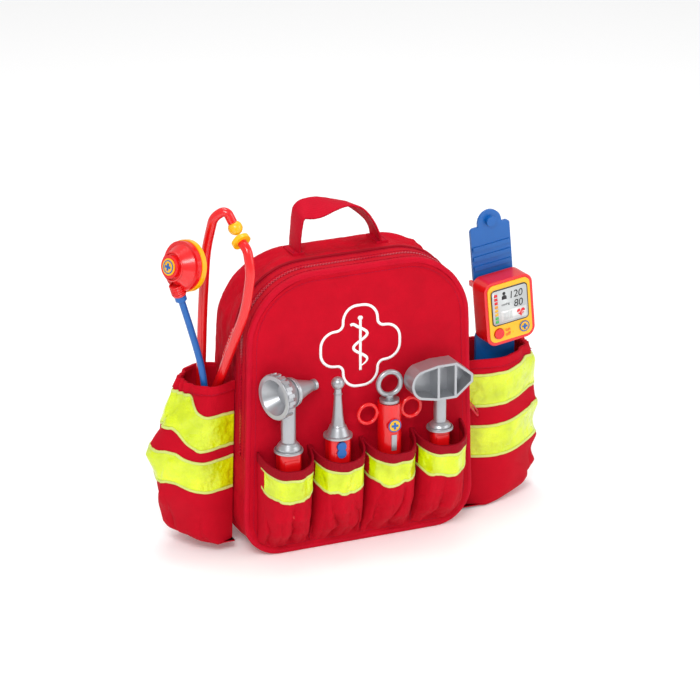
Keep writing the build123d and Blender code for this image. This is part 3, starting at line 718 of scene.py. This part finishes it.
def tool_point(number, t, z, out):
    """A point on a tool pocket: t runs from -1 to 1 between its seams."""
    s = sin(t * pi / 2)
    x = TOOL_X[number] + s * TOOL_HALF
    floor = pocket_floor(x)
    deep = through(TOOL_DEPTHS, z) * sqrt(max(0, 1 - abs(s) ** 3.0))
    deep *= sqrt(min(1, max(0, (z - floor) / 16)))
    low = ease(84, 22, z)
    lean = t + (0.5 - 0.25 * number) * (z - 60) / 160
    pleat = abs(sin(pi * (1.5 * lean + 0.37 * number + 0.25 * crease(number, t, z / 40, 1))))
    fine_pleat = abs(sin(pi * (3.1 * lean + 0.61 * number)))
    deep -= low * (7.5 * (1 - pleat) ** 2 + 2.2 * (1 - fine_pleat)) * (1 - t * t)
    flap = ease(62, 80, z) * ease(104, 84, z)
    deep += flap * 1.7 * sin(pi * (4.3 * t + 0.6 * number)) * (1 - t**4) - 0.8 * flap
    deep += 1.3 * crease(x, number * 9, z * 0.5, 18) * (1 - t**6) * ease(0, 12, deep)
    return x + 0.8 * crease(x, 2, z, 24) * (1 - t**2), PANEL_Y - 0.4 - max(deep, 0) - out, z


def tool_strip(name, low_at, high_at, out, thickness, paint, along, stands_for=(), reach=0.95):
    """Cloth on all four tool pockets between two heights, given as functions of t and the pocket."""
    joined = []
    for number in range(4):
        def point(u, v, number=number):
            t = (2 * u - 1) * reach
            z = mix(low_at(t, number), high_at(t, number), v)
            return tool_point(number, t, z, out * (1 - t**20))

        joined.append(thicken(grid(f"{name}_{number + 1}", point, 64, along), thickness))
    return finish(join(name, joined), paint, "front", stands_for)


def floor_line(t, number):
    return pocket_floor(TOOL_X[number] + sin(t * pi / 2) * TOOL_HALF)


def under_mouth(drop):
    return lambda t, number: mouth_z(t) - drop


def band_foot(drop):
    """The lower edge of the reflective band, which sags unevenly."""
    def height(t, number):
        return mouth_z(t) - drop + (2.6 * crease(number * 3, t * 2.4, 0, 1) - 1.5 * (1 - t * t))

    return height


tool_strip("tool_pockets", floor_line, under_mouth(1.5), 0.0, 1.3, "red_fabric", 60,
           tuple(f"tool_pocket_{k}" for k in (1, 2, 3, 4)), 1.0)
tool_strip("tool_pocket_hems", under_mouth(9), under_mouth(0), 0.7, 2.2, "dark_red_binding", 8,
           ("tool_pocket_binding",), 0.99)
tool_strip("tool_pocket_bands", band_foot(30), under_mouth(11), 1.3, 0.7, "lime_reflective", 16,
           ("tool_pocket_band",))
for edge, low, high in (("lower", band_foot(32.4), band_foot(29.6)), ("upper", under_mouth(11.6), under_mouth(9))):
    tool_strip(f"tool_band_{edge}_edges", low, high, 1.5, 1.0, "lime_edge", 3)
seams = []
for middle in TOOL_X[:3]:
    x = middle + TOOL_PITCH / 2
    seams.append([(Vector((x, PANEL_Y - 1.6, z)), Vector((0, -1, 0))) for z in range(12, 110, 3)])
stitches("tool_pocket_seams", seams, "front")


# Side pockets

# How far each pocket stands out from the bag, as (height, distance) from its floor to its hem
LEFT = [(10, 46), (24, 57), (60, 68), (98, 76), (138, 62), (174, 47)]
RIGHT = [(2, 78), (16, 91), (50, 95), (90, 96), (125, 93), (156, 90)]
BAND_HEIGHT = 34
BAND_ENDS = (0.004, 0.996)


def side_point(side, share, z, out):
    """A point on a side pocket: share runs from its front edge to its back edge."""
    shape = LEFT if side < 0 else RIGHT
    floor, top = shape[0][0], shape[-1][0]
    closing = sqrt(min(1, max(0, (z - floor) / 9)))
    far = through(shape, z) * mix(0.72, 1, closing)
    calm = (1 - (2 * share - 1) ** 6)
    gather = ease(top - 30, top, z)
    low = ease(70, 16, z)
    around = 2 * pi * share
    pleats = abs(sin(around * 2.5 + 1.6 * ripple(share * 3, side, z / 60, 1) + 0.012 * z))
    far -= calm * (5.5 * low * (1 - pleats) ** 2 + 1.0)
    far += calm * gather * (1.7 * sin(around * 12 + 4.0 * ripple(share * 5, side, z / 90, 1)) - 1.4)
    fold = sqrt(ripple(share * 120 + z * 0.5, side * 40, z - share * 40, 40) ** 2 + 0.004)
    far += calm * (9.0 * (0.22 - fold) + 1.6 * ripple(share * 150, side * 40, z, 24))
    slant = 0.045 * (z + 150 * share) + 0.9 * ripple(share * 3, side * 5, z / 40, 1)
    far -= calm * 3.4 * (1 - sqrt(sin(slant) ** 2 + 0.003)) ** 3 * (1 - gather)
    wall = half_width(z) + 0.4
    front = -18 - out
    back = min(back_at(z) - 9, 40) + out
    middle, half = (front + back) / 2, (back - front) / 2
    far += out
    points = [(wall, front), (wall + 0.5 * far, front - 7), (wall + 0.9 * far, middle - 0.55 * half),
              (wall + far, middle), (wall + 0.9 * far, middle + 0.55 * half), (wall + 0.5 * far, back + 7),
              (wall, back)]
    x, y = spline(points, share)
    droop = calm * 2.5 * ripple(share * 4, side, z / 50, 1)
    return side * x, y, z + droop * ease(0, 20, z - floor)


def side_strip(name, side, low_at, high_at, out, thickness, paint, along, stands_for=(), ends=(0, 1)):
    """Cloth on a side pocket between two heights, given as functions of the share."""
    def point(u, v):
        share = mix(ends[0], ends[1], u)
        return side_point(side, share, mix(low_at(share), high_at(share), v), out)

    return finish(thicken(grid(name, point, 190, along), thickness), paint, "bag", stands_for)


def side_floor(name, side):
    """The cloth under a pocket, from its rounded edge in to the bag."""
    low = LEFT[0][0] if side < 0 else RIGHT[0][0]

    def point(u, v):
        x, y, _ = side_point(side, u, low + 0.2, 0)
        wall = side * half_width(low)
        return mix(wall, x, v), y, low + 0.8

    return finish(thicken(grid(name, point, 90, 8), 1.2), "red_fabric", "bag")


def band_top(high, drop):
    """The top edge of a reflective band, which drops by that much towards the back."""
    return lambda share: high - drop * ease(0.34, 0.16, share) + 1.5 * crease(share * 6, high, 0, 1)


def shifted(line, distance):
    return lambda share: line(share) + distance


for side, name, shape, bands in (
    (-1, "left", LEFT, ((163, 20), (108, 9))), (1, "right", RIGHT, ((145, 4), (94, 6))),
):
    top = shape[-1][0]
    floor = shape[0][0]
    side_strip(f"side_pocket_{name}_cloth", side, lambda share: floor, lambda share: top - 2, 0.0, 1.5,
               "red_fabric", 90, (f"side_pocket_{name}",))
    side_strip(f"side_pocket_{name}_hem", side, lambda share: top - 9, lambda share: top, 0.9, 2.4,
               "red_fabric", 8, ("side_pocket_hems",) if side < 0 else ())
    side_floor(f"side_pocket_{name}_floor", side)
    for label, (high, drop) in zip((f"side_{name}_upper", f"side_{name}_lower"), bands):
        line = band_top(high, drop)
        side_strip(f"{label}_band", side, shifted(line, 2 - BAND_HEIGHT), shifted(line, -2), 1.1, 0.7,
                   "lime_reflective", 18, (f"side_bands_{name}",) if label.endswith("upper") else (), BAND_ENDS)
        for edge, z in (("lower", 1 - BAND_HEIGHT), ("upper", -1.2)):
            side_strip(f"{label}_band_{edge}_edge", side, shifted(line, z - 1.3), shifted(line, z + 1.3),
                       1.3, 1.0, "lime_edge", 3, (), BAND_ENDS)
        if label.endswith("upper"):
            route = []
            for step in range(160):
                spot = Vector(side_point(side, 0.01 + 0.98 * step / 159, top - 8, 2.2))
                route.append((spot, Vector((side * 0.9, 0, 0.1)).normalized()))
            stitches(f"side_{name}_hem_stitches", [route], "bag", pitch=3.8)


# Carry handle

HANDLE = [(-HANDLE_FOOT, 284.6), (-42.5, 297), (-40, 318), (-34, 324.5), (-20, 326), (-4, 327), (8, 326.5),
          (20, 321), (29, 313), (36, 304), (41, 294), (HANDLE_FOOT, 284.6)]
WEBBING_HALF = 12.5


def handle_point(u, v):
    """The webbing's loop, twisted over its left bend and a little back over its right one."""
    x, z = spline(HANDLE, u)
    ahead = heading(HANDLE, u)
    twist = radians(34) * exp(-((u - 0.34) / 0.10) ** 2) - radians(14) * exp(-((u - 0.66) / 0.14) ** 2)
    wide = (2 * v - 1) * WEBBING_HALF
    curl = 1.3 * (2 * v - 1) ** 2
    nx, nz = -ahead.y, ahead.x
    lift = wide * sin(twist) - curl + 0.4 * crease(x, wide, z, 12)
    return x + nx * lift, HANDLE_Y + wide * cos(twist), z + nz * lift


handle = thicken(grid("handle_webbing", handle_point, 120, 24), 1.8)
for corner in handle.data.uv_layers[0].data:  # so that the ribs run along the webbing
    corner.uv = (corner.uv[1], corner.uv[0])
finish(handle, "red_webbing", stands_for=("carry_handle",))
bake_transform(handle)
tab_routes = []
for foot in (-HANDLE_FOOT, HANDLE_FOOT):
    corners = [(-4.6, -11), (4.6, -11), (4.6, 11), (-4.6, 11), (-4.6, -11), (4.6, 11)]
    tab_routes.append([(Vector((foot + x, HANDLE_Y + y, 286.0)), Vector((0, 0, 1))) for x, y in corners])
stitches("handle_tab_stitches", tab_routes, "bag", pitch=2.6)


# Shoulder straps, which are padded

STRAP_TOP = 262
STRAP_X = 37
STRAP_HALF = 22.8
STRAP_OUTWARD = 8  # degrees that each strap turns outward on its way down
STRAP_BOW = [(STRAP_TOP, 0), (236, 0.45), (200, 0.95), (160, 1.0), (128, 0.6), (104, 0.2)]


def strap(side, name):
    centre = [(back_at(z) + 4.2 + 26 * bow, z) for z, bow in STRAP_BOW]
    swing = radians(-side * STRAP_OUTWARD)

    def place(x, y, z):
        low = z - STRAP_TOP
        return (side * STRAP_X + x * cos(swing) + low * sin(swing), y,
                STRAP_TOP - x * sin(swing) + low * cos(swing))

    def point(u, v):
        y, z = spline(centre, u)
        way = heading(centre, u)
        turn = 2 * pi * v
        thick = 4.0 * min(1, 0.5 + 6 * u, 0.5 + 6 * (1 - u))
        c, s = cos(turn), sin(turn)
        x = STRAP_HALF * (abs(c) ** 0.4) * (1 if c > 0 else -1)
        out = thick * (abs(s) ** 0.75) * (1 if s > 0 else -1) * (0.72 + 0.28 * (1 - (x / 23) ** 4))
        out += 0.4 * crease(x, y, z, 18)
        return place(x, y - way.y * out, z + way.x * out)

    pad = grid(f"strap_pad_{name}", point, 90, 40, round_along=True)
    finish(close_ends(pad, 91, 40), "red_fabric", "bag", (f"shoulder_strap_{name}",))
    routes = []
    for x in (-18.5, 18.5):
        route = []
        for step in range(70):
            u = 0.03 + 0.94 * step / 69
            y, z = spline(centre, u)
            way = heading(centre, u)
            spot = Vector(place(x, y - way.y * 3.9, z + way.x * 3.9))
            route.append((spot, Vector((0, -way.y, way.x))))
        routes.append(route)
    stitches(f"strap_stitches_{name}", routes, "bag", pitch=4.0)


strap(-1, "left")
strap(1, "right")


# Toys: the CAD's own shapes with their finishes, and small moulded and printed details

CAD_PAINTS = {
    "red_plastic": ("otoscope_grip", "probe_grip", "syringe_barrel", "hammer_grip", "chest_piece",
                    "headset_yoke", "headset_arm_back", "headset_arm_front", "monitor_housing_front",
                    "monitor_housing_back", "monitor_button"),
    "silver_plastic": ("otoscope_head", "probe_tip", "syringe_plunger", "hammer_head"),
    "blue_plastic": ("probe_button", "tube_collar", "cuff_pin", "cuff_lower", "cuff_upper"),
    "yellow_plastic": ("chest_rim", "chest_badge", "ear_tip_back", "ear_tip_front", "monitor_bezel"),
    "screen_print": ("monitor_screen",),
    "zip_metal": ("zip_slider_lower", "zip_slider_upper"),
    "red_webbing": ("handle_tabs", "strap_webbing"),
    "dark_red_plastic": ("strap_buckles",),
}
for paint, names in CAD_PAINTS.items():
    for name in names:
        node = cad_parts[name]
        node.data.materials.clear()
        node.data.materials.append(paints[paint])


def on_circle(turn):
    return cos(turn), sin(turn)


def rounded_oblong(x_low, x_high, z_low, z_high, radius):
    """28 points round an oblong with rounded corners."""
    left, right = x_low + radius, x_high - radius
    low, high = z_low + radius, z_high - radius
    ring = []
    for x, z, start in ((right, high, 0), (left, high, 90), (left, low, 180), (right, low, 270)):
        for k in range(7):
            across, up = on_circle(radians(start + 15 * k))
            ring.append((x + radius * across, z + radius * up))
    return ring


PULLER_HOLE = -16.6  # from the pin down to the hole's middle
PULLER_TURN = 62  # degrees that a puller has turned on its loose bridge towards the front
PIN_OUT = 2.3  # from the bag's outline out to a puller's pin


def puller(name, z, lift, body):
    """A zip puller with an oval hole near its foot, in a closed ring of faces between the two."""
    edge = rounded_oblong(-4.5, 4.5, -22.4, 1.6, 2.2)
    count = len(edge)
    hole = []
    for k in range(count):
        across, up = on_circle(2 * pi * k / count + pi / count)
        hole.append((2.6 * across, PULLER_HOLE + 3.4 * up))
    for ring in (edge, hole):
        ring.sort(key=lambda spot: atan2(spot[1] - PULLER_HOLE, spot[0]))
    pin = Vector((half_width(z) + PIN_OUT, -32, z))
    swing = Matrix.Rotation(radians(-lift), 3, "Y") @ Matrix.Rotation(radians(PULLER_TURN), 3, "Z")
    spots = [pin + swing @ Vector((x, -0.2, low)) for x, low in edge + hole]
    faces = [(k, (k + 1) % count, count + (k + 1) % count, count + k) for k in range(count)]
    finish(thicken(blank(f"{name}_plate", spots, faces), 1.5), "zip_metal", body, (name,))


def around_axis(centre, axis):
    """A function for the point at a turn, a radius and a distance along an axis."""
    axis = Vector(axis).normalized()
    first = axis.orthogonal().normalized()
    second = axis.cross(first)

    def spot(turn, radius, along):
        return Vector(centre) + (first * cos(turn) + second * sin(turn)) * radius + axis * along

    return spot


def hoop(name, centre, axis, radius, wire):
    """A ring of round wire."""
    spot = around_axis(centre, axis)

    def point(u, v):
        across, along = on_circle(2 * pi * v)
        return spot(2 * pi * u, radius + wire * across, wire * along)

    return grid(name, point, 56, 10, round_across=True, round_along=True)


def lathe(name, centre, axis, profile):
    """A turned shape: profile is a list of (radius, distance along the axis)."""
    spot = around_axis(centre, axis)

    def point(u, v):
        radius, along = profile[round(v * (len(profile) - 1))]
        return spot(2 * pi * u, radius, along)

    return grid(name, point, 48, len(profile) - 1, round_across=True)


def plus(name, centre, facing, size, body):
    """A raised plus sign, as two crossed bars."""
    side = facing.cross(Vector((0, 0, 1))).normalized()
    up = side.cross(facing)
    wide = size * 0.3
    bars = [(centre, side, facing, (size, wide, 0.7)), (centre, up, facing, (size, wide, 0.72))]
    finish(boxes(name, bars), "blue_plastic", body)


def badge(name, centre, facing, radius, body):
    """A plain round badge with a plus sign on it."""
    centre = Vector(centre)
    facing = Vector(facing).normalized()
    disc = lathe(f"{name}_disc", centre, facing, [(0.01, 0.5), (radius * 0.84, 0.45), (radius * 0.9, 0.0)])
    finish(disc, "yellow_plastic", body)
    finish(hoop(f"{name}_edge", centre + facing * 0.25, facing, radius * 0.9, 0.55), "blue_plastic", body)
    plus(f"{name}_plus", centre + facing * 0.7, facing, radius * 1.05, body)


puller("zip_puller_upper", 121, 38, "zip_puller_upper")
puller("zip_puller_lower", 107, 8, "zip_puller_lower")

UP = Vector((0, 0, 1))
FORWARD = Vector((0, -1, 0))
SYRINGE_X = 25
# Where each straight grip stands, how deep and wide its flat facet lies, by tool
GRIPS = {"otoscope": (-80, -66, 9, 15), "probe": (-29.5, -66, 9, 15), "hammer": (76, -67, 7, 12)}

funnel_way = Vector((*on_circle(radians(18)), 0))
funnel = Vector((*GRIPS["otoscope"][:2], 173))
for number, (distance, radius) in enumerate(((-17.4, 21.2), (2.5, 14.0))):
    rib = hoop(f"otoscope_rib_{number + 1}", funnel + funnel_way * distance, funnel_way, radius, 0.75)
    finish(rib, "silver_plastic", "otoscope")
ribs = []
for number in range(20):
    turn = 2 * pi * number / 20
    out = UP * sin(turn) + funnel_way.cross(UP) * cos(turn)
    if out.y > 0.6:  # smooth where it lies against the panel
        continue
    ribs.append((funnel + funnel_way * -13.2 + out * 21.4, funnel_way, out, (7.0, 3.4, 1.6)))
finish(boxes("otoscope_funnel_grooves", ribs), "silver_plastic", "otoscope")
for name, tool, z, radius, wire in (
    ("otoscope_dome_ring", "otoscope", 116, 13.2, 0.6), ("probe_neck_ring", "probe", 131.4, 7.4, 0.7),
    ("probe_tip_ring", "probe", 164, 3.9, 0.5), ("hammer_dome_ring", "hammer", 114, 12.2, 0.6),
):
    finish(hoop(name, (*GRIPS[tool][:2], z), UP, radius, wire), "silver_plastic", tool)
badge("syringe_badge", (SYRINGE_X, -75.9, 126), FORWARD, 6.6, "syringe")
window = boxes("syringe_window", [((SYRINGE_X, -74.6, 108), UP, FORWARD, (16, 5.2, 0.8))])
finish(window, "silver_plastic", "syringe")
for name, (x, y, deep, wide) in GRIPS.items():
    plate = boxes(f"{name}_grip_facet", [((x, y - deep - 0.2, 88), (1, 0, 0), FORWARD, (wide, 38, 0.9))])
    finish(plate, "red_plastic", body=name)

chest_facing = Vector((-0.91, -0.36, 0.2)).normalized()
chest = Vector((-168, -15, 295.5))
badge("chest_print", chest + chest_facing * 13.5, chest_facing, 6.6, "stethoscope")
step_ring = hoop("chest_step", chest + chest_facing * 8.5, chest_facing, 13.2, 1.0)
finish(step_ring, "red_plastic", "stethoscope")
TUBE_RADIUS = 3.3
tube_points = [
    (-166.5, -15.5, 262.0), (-154.0, -12.6, 222.0), (-143.5, -11.5, 180.0), (-141.5, -13.5, 130.0),
    (-140.5, -14.0, 84.0), (-140.0, -14.0, 50.0), (-138.5, 2.9, 37.0), (-137.0, 19.8, 50.0),
    (-137.0, 18.6, 84.0),
]
down = (Vector(tube_points[1]) - Vector(tube_points[0])).normalized()
for number in range(5):
    spot = Vector(tube_points[0]) - down * (8 + 2.2 * number)
    finish(hoop(f"chest_neck_rib_{number + 1}", spot, down, 6.5, 0.8), "red_plastic", "stethoscope")
curve = bpy.data.curves.new("blue_tube", "CURVE")
curve.dimensions = "3D"
curve.bevel_depth = TUBE_RADIUS * MM
curve.bevel_resolution = 6
curve.use_fill_caps = True
run = curve.splines.new("NURBS")
run.points.add(len(tube_points) - 1)
for knot, spot in zip(run.points, tube_points):
    knot.co = (spot[0] * MM, spot[1] * MM, spot[2] * MM, 1)
run.order_u = 3
run.use_endpoint_u = True
run.resolution_u = 24
tube = bpy.data.objects.new("blue_tube", curve)
bpy.context.scene.collection.objects.link(tube)
finish(tube, "blue_plastic", "stethoscope", ("stethoscope_tube",))

arm_low, arm_high = Vector((-124, -36, 216)), Vector((-118, -57, 259))
arm_way = (arm_high - arm_low).normalized()
outer_side = UP.cross(arm_way).cross(arm_way).normalized() * -4.3
notches = []
for number in range(9):
    spot = arm_low.lerp(arm_high, -0.35 + number * 0.09) + outer_side
    notches.append((spot, arm_way, (0, -1, 0.3), (2.4, 5.0, 2.0)))
finish(boxes("headset_notches", notches), "red_plastic", "headset_arm_front")

# The monitor's face, drawn in its own plane and then leaned and turned with it

lean = Matrix.Rotation(radians(-5), 3, "Y") @ Matrix.Rotation(radians(6), 3, "Z")
monitor_centre = Vector((167, -12, 204))
FACE_DEPTH = 13.55  # from the monitor's middle forward to its face


def on_face(x, z, lift):
    return monitor_centre + lean @ Vector((x, -FACE_DEPTH - lift, z))


def flat(name, points, paint, lift=1.0):
    """A printed shape on the monitor's face from its corner points."""
    obj = blank(name, [on_face(x, z, lift) for x, z in points], [tuple(range(len(points)))])
    finish(thicken(obj, 0.12), paint, "monitor")


def oblong(x_low, x_high, z_low, z_high):
    return [(x_low, z_low), (x_high, z_low), (x_high, z_high), (x_low, z_high)]


def disc_points(x, z, radius):
    ring = [on_circle(2 * pi * k / 20) for k in range(20)]
    return [(x + radius * across, z + radius * up) for across, up in ring]


def words(name, text, x, z, size, paint, lift=1.0):
    """Plain lettering on the monitor's face. Numbers lean a little, as on a display."""
    face = bpy.data.curves.new(name, "FONT")
    face.body = text
    face.size = size * MM
    face.extrude = 0.05 * MM
    face.shear = 0.12 if text.isdigit() else 0.0
    letters = bpy.data.objects.new(name + "_shape", face)
    bpy.context.scene.collection.objects.link(letters)
    graph = bpy.context.evaluated_depsgraph_get()
    mesh = bpy.data.meshes.new_from_object(letters.evaluated_get(graph))
    bpy.data.objects.remove(letters)
    upright = lean.to_4x4() @ Matrix.Rotation(radians(90), 4, "X")
    mesh.transform(Matrix.Translation(on_face(x, z, lift) * MM) @ upright)
    obj = bpy.data.objects.new(name, mesh)
    bpy.context.scene.collection.objects.link(obj)
    finish(obj, paint, "monitor")


flat("display_frame", rounded_oblong(-20.6, 20.6, -12.6, 24.6, 4.0), "black_ink", lift=0.75)
flat("display_ground", rounded_oblong(-19.6, 19.6, -11.6, 23.6, 3.2), "screen_print", lift=0.85)
flat("display_lower", oblong(-10.5, 17.8, -9.8, 1.2), "pale_label", lift=0.95)
words("display_upper_number", "120", -1.0, 12.6, 10.5, "black_ink")
words("display_lower_number", "80", 4.0, 2.6, 10.5, "black_ink")
words("display_unit", "mmHg", -9.5, 6.8, 3.4, "black_ink")
flat("display_person_head", disc_points(-6.0, 19.4, 1.7), "black_ink")
shoulders = [(-8.8, 13.2), (-3.2, 13.2), (-3.4, 16.4), (-4.8, 17.5), (-7.2, 17.5), (-8.6, 16.4)]
flat("display_person_body", shoulders, "black_ink")
SCALE_INKS = ["green_ink"] * 2 + ["yellow_plastic"] * 2 + ["orange_ink"] + ["red_ink"] * 3
for number, ink in enumerate(SCALE_INKS):
    z = -9.8 + number * 3.9
    flat(f"display_scale_{number + 1}", oblong(-17.2, -13.6, z, z + 2.9), ink)
for number in range(6):
    x = -7.8 + number * 1.7
    flat(f"display_bar_{number + 1}", oblong(x, x + 1, -8.2, -0.6), "screen_print", lift=1.05)
heart = []
for step in range(24):
    a = 2 * pi * step / 24
    tall = 13 * cos(a) - 5 * cos(2 * a) - 2 * cos(3 * a) - cos(4 * a)
    heart.append((11.6 + 4.6 * sin(a) ** 3, -4.2 + 0.29 * tall))
flat("display_heart", heart, "red_ink", lift=1.1)
pulse = [(7.2, -4.4), (10.2, -4.4), (11.2, -1.6), (12.4, -7.0), (13.2, -4.4), (16.0, -4.4)]
upper = [(x, z + 0.35) for x, z in pulse]
flat("display_pulse", upper + [(x, z - 0.35) for x, z in reversed(pulse)], "white_print", lift=1.2)
words("switch_on", "on", -7.0, -20.4, 5.4, "red_ink", lift=0.9)
words("switch_off", "off", -7.0, -25.2, 5.4, "red_ink", lift=0.9)
badge("monitor_print", on_face(14.6, -20.6, 0.75), lean @ Vector((0, -1, 0)), 5.6, "monitor")


# Floor, light and camera

ground = Paint(bpy.data.materials.new("studio_floor"))
shade = ground.noise(ground.place("Object"), 1.2, 1.0)
floor_paint = ground.surface(Base_Color=ground.mix(shade, (0.93, 0.93, 0.93, 1), (0.95, 0.95, 0.95, 1)),
                             Roughness=0.9, Specular_IOR_Level=0.1, Emission_Color=(1, 1, 1, 1),
                             Emission_Strength=0.12)
FLOOR_HALF = 4000
floor_corners = [(x, z, 0) for x, z in oblong(-FLOOR_HALF, FLOOR_HALF, -FLOOR_HALF, FLOOR_HALF)]
floor = blank("floor", floor_corners, [(0, 1, 2, 3)])
floor.data.materials.append(floor_paint)

world = bpy.data.worlds.new("studio")
bpy.context.scene.world = world
room = Paint(world)
camera_ray = room.add("LightPath", {}, output="Is Camera Ray")
dim = room.add("Background", {}, Color=(1, 1, 1, 1), Strength=0.62)
white = room.add("Background", {}, Color=(1, 1, 1, 1), Strength=1.0)
room.add("OutputWorld", {}, room.add("MixShader", {}, camera_ray, dim, white))

target = Vector((0.011, 0.0, 0.1777))


def lamp(name, place, size, power):
    data = bpy.data.lights.new(name, "AREA")
    data.shape = "DISK"
    data.size = size
    data.energy = power
    obj = bpy.data.objects.new(name, data)
    obj.location = place
    obj.rotation_euler = (target - Vector(place)).to_track_quat("-Z", "Y").to_euler()
    bpy.context.scene.collection.objects.link(obj)


lamp("key_light", (-0.9, -1.5, 1.7), 0.9, 26)
lamp("fill_light", (1.6, -1.3, 1.0), 1.4, 11)
lamp("top_light", (0.1, 0.5, 2.2), 1.2, 16)

turned, raised, distance = radians(-23), radians(22), 3.6
SENSOR_WIDTH = 36
SEEN_WIDTH = 0.673  # metres across the picture at the target
data = bpy.data.cameras.new("camera")
data.lens = SENSOR_WIDTH * distance / SEEN_WIDTH
data.clip_end = 30
camera = bpy.data.objects.new("camera", data)
away = Vector((sin(turned) * cos(raised), -cos(turned) * cos(raised), sin(raised)))
camera.location = target + away * distance
camera.rotation_euler = (-away).to_track_quat("-Z", "Y").to_euler()
bpy.context.scene.collection.objects.link(camera)
bpy.context.scene.camera = camera
bpy.context.scene.view_settings.view_transform = "Standard"
